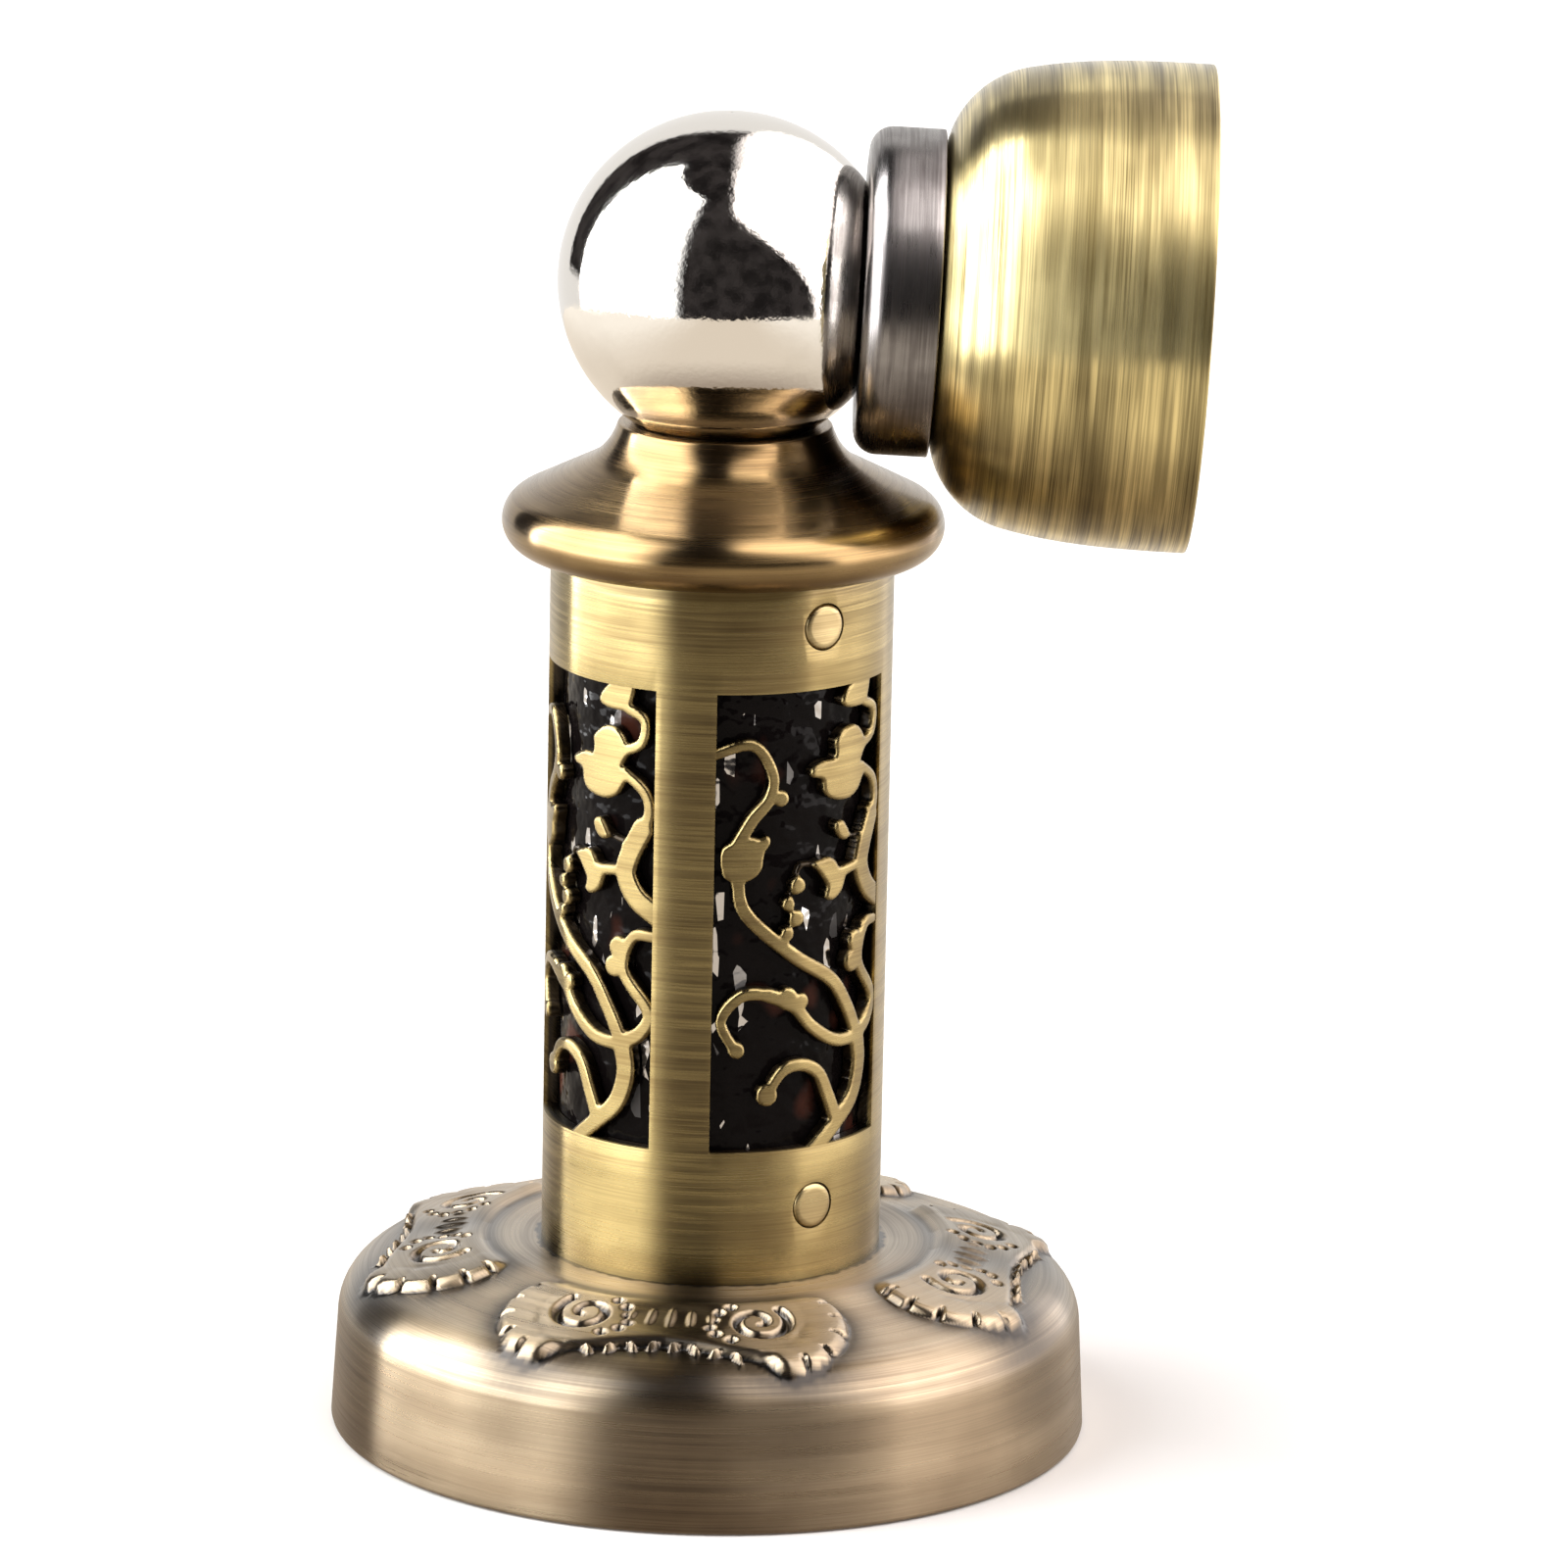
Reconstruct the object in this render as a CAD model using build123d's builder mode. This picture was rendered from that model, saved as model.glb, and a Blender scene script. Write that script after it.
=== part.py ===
# Magnetic door stop: a floor post that carries a steel ball above a pierced vine sleeve, and a door
# catch whose dished magnet holds the ball. Millimetres, +Z up, origin at the middle of the base's
# underside. The catch lies along +X and droops a little, as it does when only the magnet holds it.
import os
from math import ceil, cos, radians, sin, sqrt

from build123d import *

os.makedirs("parts", exist_ok=True)

# Base
base_diameter = 50.0
base_shoulder_diameter = 48.9
base_shoulder_height = 9.9
base_shoulder_radius = 3.5
base_height = 12.4
base_ring_diameter = 28.4
base_recess_diameter = 43.6
base_recess_edge_height = 6.4
base_web_underside = 9.0

# Raised leaf crest, repeated round the base, in polar sizes about the post's axis
crest_count = 4
crest_azimuth = -98.0
crest_relief = 0.7
crest_inner_radius = 14.7
crest_end_angle = 31.0
crest_tip_radius = 21.4
crest_tip_angle = 20.0
crest_waist_radius = 20.2
crest_lobe_radii = (1.25, 1.5, 1.55, 1.4, 1.15)
crest_lobe_first = (15.9, 32.5)
crest_lobe_last = (22.4, 20.5)
crest_lobe_bulge = 1.3
crest_lobe_sides = 14
crest_bead_count = 8
crest_bead_angle = 13.0
crest_bead_radius = 0.55
crest_bead_sides = 8
crest_scroll_radius = 17.8
crest_scroll_angle = 19.5
crest_scroll_size = 1.85
crest_curl_size = 1.0
crest_curl_neck = 0.9
crest_pocket_inner_radius = 15.7
crest_pocket_outer_radius = 18.8
crest_pocket_angle = 8.5
crest_petal_angles = (-6.0, 0.0, 6.0)
crest_petal_width = 1.5

# Pierced sleeve
sleeve_diameter = 22.4
sleeve_wall = 1.0
sleeve_height = 46.5
lower_band = 8.9
upper_band = 7.0
panel_count = 4
rib_angle = 20.5
rib_azimuth = -101.2
spigot_set_back = 1.3

# Vine, with stroke widths at the root and at the tip
vine_set_back = 0.12
vine_facet = 0.9
knob_sides = 10
trunk_width = 1.5
branch_width = 1.1
twig_width = 0.9
tip_width = 0.7
lobe_width = 1.55
thread_width = 0.36
node_radius = 0.75
bud_radius = 0.55
berry_radius = 0.45

# Rivets that pin the sleeve to the base and to the collar
rivet_diameter = 3.0
rivet_length = 4.2
rivet_proud = 0.18
rivet_edge = 0.12
rivet_azimuth = -53.5
rivet_count = 2
lower_rivet_height = 4.9
upper_rivet_drop = 2.9

# Black core behind the vine
core_wall = 1.6

# Collar
collar_diameter = 28.8
collar_bead_radius = 2.0
collar_bead_end = 65.0
collar_height = 8.5
collar_neck_diameter = 13.9
collar_cove_diameter = 18.0
collar_cove_drop = 2.6

# Ball
ball_diameter = 22.0
ball_seat_diameter = 11.7
ball_seat_depth = 2.2
ball_hole_depth = 8.0

# Tie stud with its nut and washer
stud_diameter = 5.0
stud_end_gap = 0.6
stud_chamfer = 0.5
tie_nut_width = 8.0
tie_nut_height = 3.6
tie_washer_diameter = 10.0
tie_washer_thickness = 1.0

# Floor plate
floor_plate_thickness = 2.5
floor_plate_boss_diameter = 9.6
floor_plate_boss_gap = 0.4
floor_plate_skin = 0.8
floor_screw_circle = 28.0
floor_screw_count = 3
floor_screw_hole = 4.5
floor_screw_sink = 8.4

# Catch, measured along its own axis from the centre of the ball
catch_droop = 2.4
magnet_diameter = 21.2
magnet_front = 8.65
magnet_edge_radius = 1.5
magnet_dish_gap = 0.2
cup_floor = 13.5
cup_length = 17.0
cup_diameter = 31.6
cup_corner_radius = 6.5
cup_wall = 1.8
cup_rim_chamfer = 0.3

# Screw through the magnet, with its nut and washer
screw_diameter = 4.0
screw_head_diameter = 7.4
screw_head_depth = 1.7
screw_head_recess = 0.15
screw_socket_width = 2.5
screw_socket_depth = 1.1
screw_end_gap = 0.6
catch_nut_width = 7.0
catch_nut_height = 3.2
catch_washer_diameter = 9.0
catch_washer_thickness = 0.8

# Door plate
door_plate_thickness = 2.5
door_plate_boss_diameter = 8.6
door_plate_boss_height = 4.0
door_plate_skin = 0.8
door_screw_circle = 19.0
door_screw_count = 3
door_screw_hole = 3.6
door_screw_sink = 6.8

# Fits
slip_fit = 0.05
plate_clearance = 0.3

# Levels, radii and angles that several pieces share
sleeve_radius = sleeve_diameter / 2
sleeve_bore_radius = sleeve_radius - sleeve_wall
spigot_radius = sleeve_bore_radius - slip_fit
sleeve_top = base_height + sleeve_height
sill_level = base_height + lower_band
window_height = sleeve_height - lower_band - upper_band
core_bottom = sill_level - spigot_set_back
core_top = sill_level + window_height + spigot_set_back
collar_top = sleeve_top + collar_height
stud_radius = stud_diameter / 2
stud_hole_radius = stud_radius + slip_fit
ball_radius = ball_diameter / 2
ball_level = collar_top + sqrt(ball_radius**2 - (ball_seat_diameter / 2) ** 2)
ball_hole_top = ball_level - ball_radius + ball_hole_depth
tie_washer_bottom = base_web_underside - tie_washer_thickness
floor_boss_top = tie_washer_bottom - tie_nut_height - floor_plate_boss_gap
rivet_radius = rivet_diameter / 2
rivet_foot = sleeve_radius + rivet_proud - rivet_length
lower_rivet_level = base_height + lower_rivet_height
upper_rivet_level = sleeve_top - upper_rivet_drop
panel_angle = 360 / panel_count - rib_angle
panel_azimuth = rib_azimuth + 180 / panel_count
panel_arc = sleeve_radius * radians(panel_angle)

# The catch's axis passes through the ball's centre and points at the door
ball_centre = Vector(0, 0, ball_level)
catch_direction = Vector(cos(radians(catch_droop)), 0, -sin(radians(catch_droop)))
catch_axis = Axis(ball_centre, catch_direction)
catch_section = Plane(ball_centre, x_dir=catch_direction, z_dir=(0, -1, 0))
cup_radius = cup_diameter / 2
cup_inner_floor = cup_floor + cup_wall
cup_rim = cup_floor + cup_length
screw_radius = screw_diameter / 2
screw_hole_radius = screw_radius + slip_fit
screw_head_front = ball_radius + magnet_dish_gap + screw_head_recess
screw_head_back = screw_head_front + screw_head_depth
door_plate_back = cup_rim - door_plate_thickness
door_boss_back = door_plate_back - door_plate_boss_height
screw_end = cup_rim - door_plate_skin - screw_end_gap


def catch_plane(distance):
    # Plane square to the catch's axis, facing the door
    return Plane(ball_centre + catch_direction * distance, x_dir=(0, 1, 0), z_dir=catch_direction)


def polar(radius, angle):
    return (radius * cos(radians(angle)), radius * sin(radians(angle)))


def rivet_planes(level):
    # Planes at the feet of the rivets of one band, facing outwards
    planes = []
    for step in range(rivet_count):
        angle = rivet_azimuth + 360 / rivet_count * step
        foot = (*polar(rivet_foot, angle), level)
        planes.append(Plane(foot, x_dir=(0, 0, 1), z_dir=(*polar(1, angle), 0)))
    return planes


def on_sleeve(across, up):
    # Front view of a place on the panel, in hundredths of its half width and of the window's height
    wrap = radians(panel_angle / 2) * across / 100
    return Vector(sleeve_radius * sin(wrap), window_height * up / 100)


def facets(line):
    # Even steps along a smooth line, as shares of its length
    count = ceil(line.length / vine_facet)
    return [step / count for step in range(count + 1)]


def stem(root_width, end_width, *places):
    # Tapered stroke with round ends along a smooth line, drawn into the current sketch
    line = Edge.make_spline([on_sleeve(*place) for place in places])
    left, right = [], []
    for share in facets(line):
        half = (root_width + share * (end_width - root_width)) / 2
        side = Vector(-(line % share).Y, (line % share).X) * half
        left.append(line @ share + side)
        right.append(line @ share - side)
    Polygon(*left, *reversed(right), align=None)
    with Locations(line @ 0):
        RegularPolygon(root_width / 2, knob_sides)
    with Locations(line @ 1):
        RegularPolygon(end_width / 2, knob_sides)


def knobs(radius, *places):
    with Locations(*[on_sleeve(*place) for place in places]):
        RegularPolygon(radius, knob_sides)


def leaf(*places):
    # Closed soft outline through the given places
    line = Edge.make_spline([on_sleeve(*place) for place in places], periodic=True)
    Polygon(*[line @ share for share in facets(line)[:-1]], align=None)


# Outer section of the base, for the casting and for the skin of its raised crests
with BuildSketch(Plane.XZ) as base_section:
    with BuildLine():
        Polyline(
            (0, 0),
            (base_diameter / 2, 0),
            (base_shoulder_diameter / 2, base_shoulder_height),
            (base_ring_diameter / 2, base_height),
            (0, base_height),
            close=True,
        )
    make_face()
    fillet(base_section.vertices().sort_by(Axis.X)[-2], base_shoulder_radius)

# Outline of one crest about the +X direction: lobed ends, a beaded outer edge, scrolls and veins
with BuildSketch() as crest_outline:
    Polygon(
        *[polar(crest_inner_radius, crest_end_angle * share) for share in (-1, -0.5, 0, 0.5, 1)],
        *[polar(crest_tip_radius, crest_tip_angle * share) for share in (1, 0.7)],
        *[polar(crest_waist_radius, crest_tip_angle * share) for share in (0.35, -0.35)],
        *[polar(crest_tip_radius, crest_tip_angle * share) for share in (-0.7, -1)],
        align=None,
    )
    for side in (-1, 1):
        for step, lobe_radius in enumerate(crest_lobe_radii):
            share = step / (len(crest_lobe_radii) - 1)
            radius = crest_lobe_first[0] + share * (crest_lobe_last[0] - crest_lobe_first[0])
            angle = crest_lobe_first[1] + share * (crest_lobe_last[1] - crest_lobe_first[1])
            angle += crest_lobe_bulge * 4 * share * (1 - share)
            with Locations(polar(radius, side * angle)):
                RegularPolygon(lobe_radius, crest_lobe_sides)
    for step in range(crest_bead_count):
        angle = crest_bead_angle * (2 * step / (crest_bead_count - 1) - 1)
        rise = (crest_tip_radius - crest_waist_radius) * (angle / crest_tip_angle) ** 2
        with Locations(polar(crest_waist_radius + rise, angle)):
            RegularPolygon(crest_bead_radius, crest_bead_sides)
    for side in (-1, 1):
        angle = side * crest_scroll_angle
        with Locations(polar(crest_scroll_radius, angle)):
            RegularPolygon(crest_scroll_size, crest_lobe_sides, mode=Mode.SUBTRACT)
            RegularPolygon(crest_curl_size, crest_bead_sides)
        with Locations(polar(crest_scroll_radius - crest_scroll_size / 2, angle)):
            Rectangle(crest_scroll_size, crest_curl_neck, rotation=angle)
    Polygon(
        *[polar(crest_pocket_inner_radius, crest_pocket_angle * share) for share in (-1, 0, 1)],
        *[polar(crest_pocket_outer_radius, crest_pocket_angle * share) for share in (1, 0, -1)],
        align=None,
        mode=Mode.SUBTRACT,
    )
    for angle in crest_petal_angles:
        with Locations(Location((0, 0, 0), (0, 0, angle))):
            Polygon(
                (crest_pocket_inner_radius - crest_petal_width / 2, 0),
                ((crest_pocket_inner_radius + crest_pocket_outer_radius) / 2, crest_petal_width / 2),
                (crest_pocket_outer_radius + crest_petal_width / 2, 0),
                ((crest_pocket_inner_radius + crest_pocket_outer_radius) / 2, -crest_petal_width / 2),
                align=None,
            )

# The crest follows the base's own surface at an even relief
with BuildPart() as crest:
    add(crest_outline.sketch)
    extrude(amount=base_height + crest_relief)
    revolve(base_section.sketch.moved(Location((0, 0, crest_relief))), Axis.Z, mode=Mode.INTERSECT)

# Cast base with its crests, a spigot for the sleeve and a hollow underside
with BuildPart() as base_flange:
    revolve(base_section.sketch, Axis.Z)
    with PolarLocations(0, crest_count, crest_azimuth):
        add(crest.part)
    with BuildSketch(Plane.XZ):
        with BuildLine():
            Polyline(
                (0, 0),
                (base_recess_diameter / 2, 0),
                (base_recess_diameter / 2, base_recess_edge_height),
                (base_ring_diameter / 2, base_web_underside),
                (0, base_web_underside),
                close=True,
            )
        make_face()
    revolve(axis=Axis.Z, mode=Mode.SUBTRACT)
    with BuildSketch(Plane.XY.offset(base_height)):
        Circle(spigot_radius)
    extrude(amount=core_bottom - base_height)
    with BuildSketch():
        Circle(stud_hole_radius)
    extrude(amount=core_bottom, mode=Mode.SUBTRACT)
    with BuildSketch(*rivet_planes(lower_rivet_level)):
        Circle(rivet_radius + slip_fit)
    extrude(amount=rivet_length, mode=Mode.SUBTRACT)
base_flange.part.label = "base_flange"
export_step(base_flange.part, "parts/base_flange.step")

# Vine of one panel, drawn flat on a plane through the post's axis and kept to the sleeve's wall
panel_plane = Plane(
    (0, 0, sill_level), x_dir=(*polar(1, panel_azimuth + 90), 0), z_dir=(*polar(1, panel_azimuth), 0)
)
with BuildPart() as vine:
    with BuildSketch(panel_plane):
        # Trunk that grows from the sill, with a curl at its foot
        stem(trunk_width, branch_width, (68, 22.2), (72, 16), (62, 9.2), (38, 4.2), (6, -1.3))
        stem(branch_width, tip_width, (38, 4.6), (26, 10.5), (13, 16), (-7, 18.3), (-28, 17.3), (-44, 12.4))
        knobs(node_radius, (-44, 12.4))
        # Main branch up to the tulip bud
        stem(
            branch_width, twig_width,
            (68, 22.2), (50, 29.4), (26, 36.3), (-18, 42.5), (-68, 52.3), (-78, 60.8),
        )
        leaf((-93, 67.6), (-94, 61.8), (-79, 58.8), (-60, 60.1), (-50, 64.7), (-57, 67.6), (-77, 68.6))
        knobs(bud_radius, (-50, 68))
        # Shoot above the bud that bends over into the rib
        stem(
            twig_width, tip_width,
            (-78, 67.3), (-63, 72.9), (-47, 77.1), (-44, 82.7), (-65, 88.9), (-106, 86.6),
        )
        knobs(bud_radius, (-35, 77.1))
        # Low branch with a leaf node and a curled end
        stem(twig_width, twig_width, (65, 21.9), (34, 22.5), (4, 26.5), (-18, 31.7), (-44, 34.3))
        stem(twig_width, tip_width, (-18, 31.7), (-44, 34.3), (-71, 34.3), (-91, 29.1), (-77, 22.5))
        knobs(bud_radius, (-75, 22.5), (-9, 32.4))
        knobs(node_radius, (-24, 33.3))
        # Lobed leaf that hooks into the rib
        stem(branch_width, tip_width, (68, 22.5), (88, 25.2), (96, 30.1), (68, 38.2), (78, 45.8), (106, 46.4))
        knobs(node_radius, (57, 38.9), (62, 43.1))
        # Three-lobed leaf beside the rib, with its side leaf, berries and a seed
        stem(lobe_width, lobe_width, (87, 69.6), (74, 64.1), (69, 59.5), (81, 54.6), (103, 51.3))
        stem(tip_width, tip_width, (69, 60.1), (56, 59.8), (35, 59.2))
        leaf((46, 59.8), (34, 62.1), (16, 61.4), (15, 56.9), (24, 53.3), (40, 55.9))
        stem(
            thread_width, thread_width,
            (18, 61.1), (-9, 61.8), (-16, 57.8), (-24, 53.9), (-19, 50.3), (-28, 45.1),
        )
        knobs(bud_radius, (-15, 57.8), (-16, 50.7))
        knobs(berry_radius, (-25, 53.9), (-26, 47.4))
        stem(thread_width, thread_width, (35, 68), (56, 66.3), (77, 66))
        leaf((28, 70.3), (28, 67.3), (38, 66), (43, 68), (37, 70.6))
        # Flower, its stems and the bud under the upper band
        stem(tip_width, twig_width, (65, 81.4), (88, 77.8), (94, 73.5), (87, 69.3))
        leaf((35, 90.5), (57, 90.8), (74, 87.3), (65, 80.4), (44, 74.8), (15, 76.8), (16, 84.3))
        stem(tip_width, thread_width, (13, 81), (3, 81.4), (-7, 82))
        leaf((29, 98), (41, 94.4), (68, 94.4), (75, 98.7), (65, 102), (38, 102))
        stem(tip_width, tip_width, (68, 95.4), (87, 93.1), (84, 88.2), (65, 85.9))
    extrude(amount=sleeve_radius)
    with BuildSketch(Plane.XY.offset(base_height)):
        Circle(sleeve_radius - vine_set_back)
        Circle(sleeve_bore_radius + vine_set_back, mode=Mode.SUBTRACT)
    extrude(amount=sleeve_height, mode=Mode.INTERSECT)

# Window of one panel in plan, a wedge that reaches past the wall
with BuildSketch() as window_wedge:
    with BuildLine():
        Polyline(
            (0, 0),
            polar(sleeve_diameter, panel_azimuth - panel_angle / 2),
            polar(sleeve_diameter, panel_azimuth + panel_angle / 2),
            close=True,
        )
    make_face()

# Sleeve: two plain bands joined by ribs, with the vine in each window
with BuildPart() as column_sleeve:
    with BuildSketch(Plane.XY.offset(base_height)):
        Circle(sleeve_radius)
        Circle(sleeve_bore_radius, mode=Mode.SUBTRACT)
    extrude(amount=sleeve_height)
    with BuildSketch(Plane.XY.offset(sill_level)):
        with PolarLocations(0, panel_count):
            add(window_wedge.sketch)
    extrude(amount=window_height, mode=Mode.SUBTRACT)
    with PolarLocations(0, panel_count):
        add(vine.part)
    with BuildSketch(*rivet_planes(lower_rivet_level), *rivet_planes(upper_rivet_level)):
        Circle(rivet_radius + slip_fit)
    extrude(amount=rivet_length, mode=Mode.SUBTRACT)
column_sleeve.part.label = "column_sleeve"
export_step(column_sleeve.part, "parts/column_sleeve.step")

# Rivets in both bands, slightly proud of the sleeve
with BuildPart() as sleeve_rivets:
    with BuildSketch(*rivet_planes(lower_rivet_level), *rivet_planes(upper_rivet_level)):
        Circle(rivet_radius)
    extrude(amount=rivet_length)
    rims = sleeve_rivets.edges().filter_by(GeomType.CIRCLE)
    outer_rims = [rim for rim in rims if rim.arc_center.X**2 + rim.arc_center.Y**2 > sleeve_radius**2]
    chamfer(outer_rims, rivet_edge)
sleeve_rivets.part.label = "sleeve_rivets"
export_step(sleeve_rivets.part, "parts/sleeve_rivets.step")

# Black tube that closes the windows from inside, between the two spigots
with BuildPart() as column_core:
    with BuildSketch(Plane.XY.offset(core_bottom)):
        Circle(spigot_radius)
        Circle(spigot_radius - core_wall, mode=Mode.SUBTRACT)
    extrude(amount=core_top - core_bottom)
column_core.part.label = "column_core"
export_step(column_core.part, "parts/column_core.step")

# Collar: flared skirt with a rolled bead, a coved neck with the ball's seat, and a spigot below
bead_middle = collar_diameter / 2 - collar_bead_radius
bead_level = sleeve_top + collar_bead_radius
bead_end = Vector(bead_middle, bead_level) + Vector(*polar(collar_bead_radius, collar_bead_end))
cove_foot = Vector(collar_cove_diameter / 2, collar_top - collar_cove_drop)
with BuildPart() as collar:
    with BuildSketch(Plane.XZ):
        with BuildLine():
            Polyline(
                (ball_seat_diameter / 2 + slip_fit, collar_top),
                (stud_hole_radius, collar_top - ball_seat_depth),
                (stud_hole_radius, core_top),
                (spigot_radius, core_top),
                (spigot_radius, sleeve_top),
                (bead_middle, sleeve_top),
            )
            CenterArc((bead_middle, bead_level), collar_bead_radius, -90, 90 + collar_bead_end)
            Line(bead_end, cove_foot)
            TangentArc(cove_foot, (collar_neck_diameter / 2, collar_top), tangent=cove_foot - bead_end)
            Line((collar_neck_diameter / 2, collar_top), (ball_seat_diameter / 2 + slip_fit, collar_top))
        make_face()
    revolve(axis=Axis.Z)
    with BuildSketch(*rivet_planes(upper_rivet_level)):
        Circle(rivet_radius + slip_fit)
    extrude(amount=rivet_length, mode=Mode.SUBTRACT)
collar.part.label = "collar"
export_step(collar.part, "parts/collar.step")

# Steel ball, tapped from below for the stud
with BuildPart() as ball:
    with Locations(ball_centre):
        Sphere(ball_radius)
    with BuildSketch():
        Circle(stud_hole_radius)
    extrude(amount=ball_hole_top, mode=Mode.SUBTRACT)
ball.part.label = "ball"
export_step(ball.part, "parts/ball.step")

# Stud from the floor plate up into the ball
with BuildPart() as tie_stud:
    with BuildSketch(Plane.XY.offset(floor_plate_skin + stud_end_gap)):
        Circle(stud_radius)
    extrude(amount=ball_hole_top - floor_plate_skin - 2 * stud_end_gap)
    chamfer(tie_stud.edges().filter_by(GeomType.CIRCLE), stud_chamfer)
tie_stud.part.label = "tie_stud"
export_step(tie_stud.part, "parts/tie_stud.step")

# Washer and nut under the base's web
with BuildPart() as tie_washer:
    with BuildSketch(Plane.XY.offset(tie_washer_bottom)):
        Circle(tie_washer_diameter / 2)
        Circle(stud_hole_radius, mode=Mode.SUBTRACT)
    extrude(amount=tie_washer_thickness)
tie_washer.part.label = "tie_washer"
export_step(tie_washer.part, "parts/tie_washer.step")

with BuildPart() as tie_nut:
    with BuildSketch(Plane.XY.offset(tie_washer_bottom)):
        RegularPolygon(tie_nut_width / 2, 6, major_radius=False)
        Circle(stud_hole_radius, mode=Mode.SUBTRACT)
    extrude(amount=-tie_nut_height)
tie_nut.part.label = "tie_nut"
export_step(tie_nut.part, "parts/tie_nut.step")

# Plate that is screwed to the floor and takes the stud in its blind boss
with BuildPart() as floor_plate:
    with BuildSketch():
        Circle(base_recess_diameter / 2 - plate_clearance)
    extrude(amount=floor_plate_thickness)
    with BuildSketch(Plane.XY.offset(floor_plate_thickness)):
        Circle(floor_plate_boss_diameter / 2)
    extrude(amount=floor_boss_top - floor_plate_thickness)
    with BuildSketch(Plane.XY.offset(floor_plate_skin)):
        Circle(stud_hole_radius)
    extrude(amount=floor_boss_top - floor_plate_skin, mode=Mode.SUBTRACT)
    with Locations(Plane.XY.offset(floor_plate_thickness)):
        with PolarLocations(floor_screw_circle / 2, floor_screw_count):
            CounterSinkHole(floor_screw_hole / 2, floor_screw_sink / 2, counter_sink_angle=90)
floor_plate.part.label = "floor_plate"
export_step(floor_plate.part, "parts/floor_plate.step")

# Bowl-shaped cup of the catch, open towards the door
with BuildPart() as catch_cup:
    with BuildSketch(catch_section) as cup_outline:
        with Locations((cup_floor, 0)):
            Rectangle(cup_length, cup_radius, align=Align.MIN)
        outer_corner = cup_outline.vertices().sort_by(Axis.Y)[-2:].sort_by(Axis.X)[0]
        fillet(outer_corner, cup_corner_radius)
        chamfer(cup_outline.vertices().sort_by(Axis.Y)[-2:].sort_by(Axis.X)[-1], cup_rim_chamfer)
    revolve(axis=catch_axis)
    with BuildSketch(catch_section) as cup_hollow:
        with Locations((cup_inner_floor, 0)):
            Rectangle(cup_length - cup_wall, cup_radius - cup_wall, align=Align.MIN)
        inner_corner = cup_hollow.vertices().sort_by(Axis.Y)[-2:].sort_by(Axis.X)[0]
        fillet(inner_corner, cup_corner_radius - cup_wall)
    revolve(axis=catch_axis, mode=Mode.SUBTRACT)
    with BuildSketch(catch_plane(cup_floor)):
        Circle(screw_hole_radius)
    extrude(amount=cup_wall, mode=Mode.SUBTRACT)
catch_cup.part.label = "catch_cup"
export_step(catch_cup.part, "parts/catch_cup.step")

# Magnet: a thick disc with a rounded front edge, dished for the ball and countersunk for its screw
dish_radius = ball_radius + magnet_dish_gap
dish_mouth_radius = sqrt(dish_radius**2 - magnet_front**2)
head_hole_radius = screw_head_diameter / 2 + slip_fit
with BuildPart() as magnet:
    with BuildSketch(catch_section) as magnet_outline:
        with BuildLine():
            RadiusArc(
                (magnet_front, dish_mouth_radius),
                (sqrt(dish_radius**2 - head_hole_radius**2), head_hole_radius),
                dish_radius,
            )
            Polyline(
                (sqrt(dish_radius**2 - head_hole_radius**2), head_hole_radius),
                (screw_head_front, head_hole_radius),
                (screw_head_back, screw_hole_radius),
                (cup_floor, screw_hole_radius),
                (cup_floor, magnet_diameter / 2),
                (magnet_front, magnet_diameter / 2),
                (magnet_front, dish_mouth_radius),
            )
        make_face()
        fillet(magnet_outline.vertices().sort_by(Axis.Y)[-2:].sort_by(Axis.X)[0], magnet_edge_radius)
    revolve(axis=catch_axis)
magnet.part.label = "magnet"
export_step(magnet.part, "parts/magnet.step")

# Socket screw that holds magnet and cup and runs on into the door plate
with BuildPart() as magnet_screw:
    with BuildSketch(catch_section):
        with BuildLine():
            Polyline(
                (screw_head_front, 0),
                (screw_head_front, screw_head_diameter / 2),
                (screw_head_back, screw_radius),
                (screw_end, screw_radius),
                (screw_end, 0),
                close=True,
            )
        make_face()
    revolve(axis=catch_axis)
    with BuildSketch(catch_plane(screw_head_front)):
        RegularPolygon(screw_socket_width / 2, 6, major_radius=False)
    extrude(amount=screw_socket_depth, mode=Mode.SUBTRACT)
magnet_screw.part.label = "magnet_screw"
export_step(magnet_screw.part, "parts/magnet_screw.step")

# Washer and nut inside the cup
with BuildPart() as catch_washer:
    with BuildSketch(catch_plane(cup_inner_floor)):
        Circle(catch_washer_diameter / 2)
        Circle(screw_hole_radius, mode=Mode.SUBTRACT)
    extrude(amount=catch_washer_thickness)
catch_washer.part.label = "catch_washer"
export_step(catch_washer.part, "parts/catch_washer.step")

with BuildPart() as catch_nut:
    with BuildSketch(catch_plane(cup_inner_floor + catch_washer_thickness)):
        RegularPolygon(catch_nut_width / 2, 6, major_radius=False)
        Circle(screw_hole_radius, mode=Mode.SUBTRACT)
    extrude(amount=catch_nut_height)
catch_nut.part.label = "catch_nut"
export_step(catch_nut.part, "parts/catch_nut.step")

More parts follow.
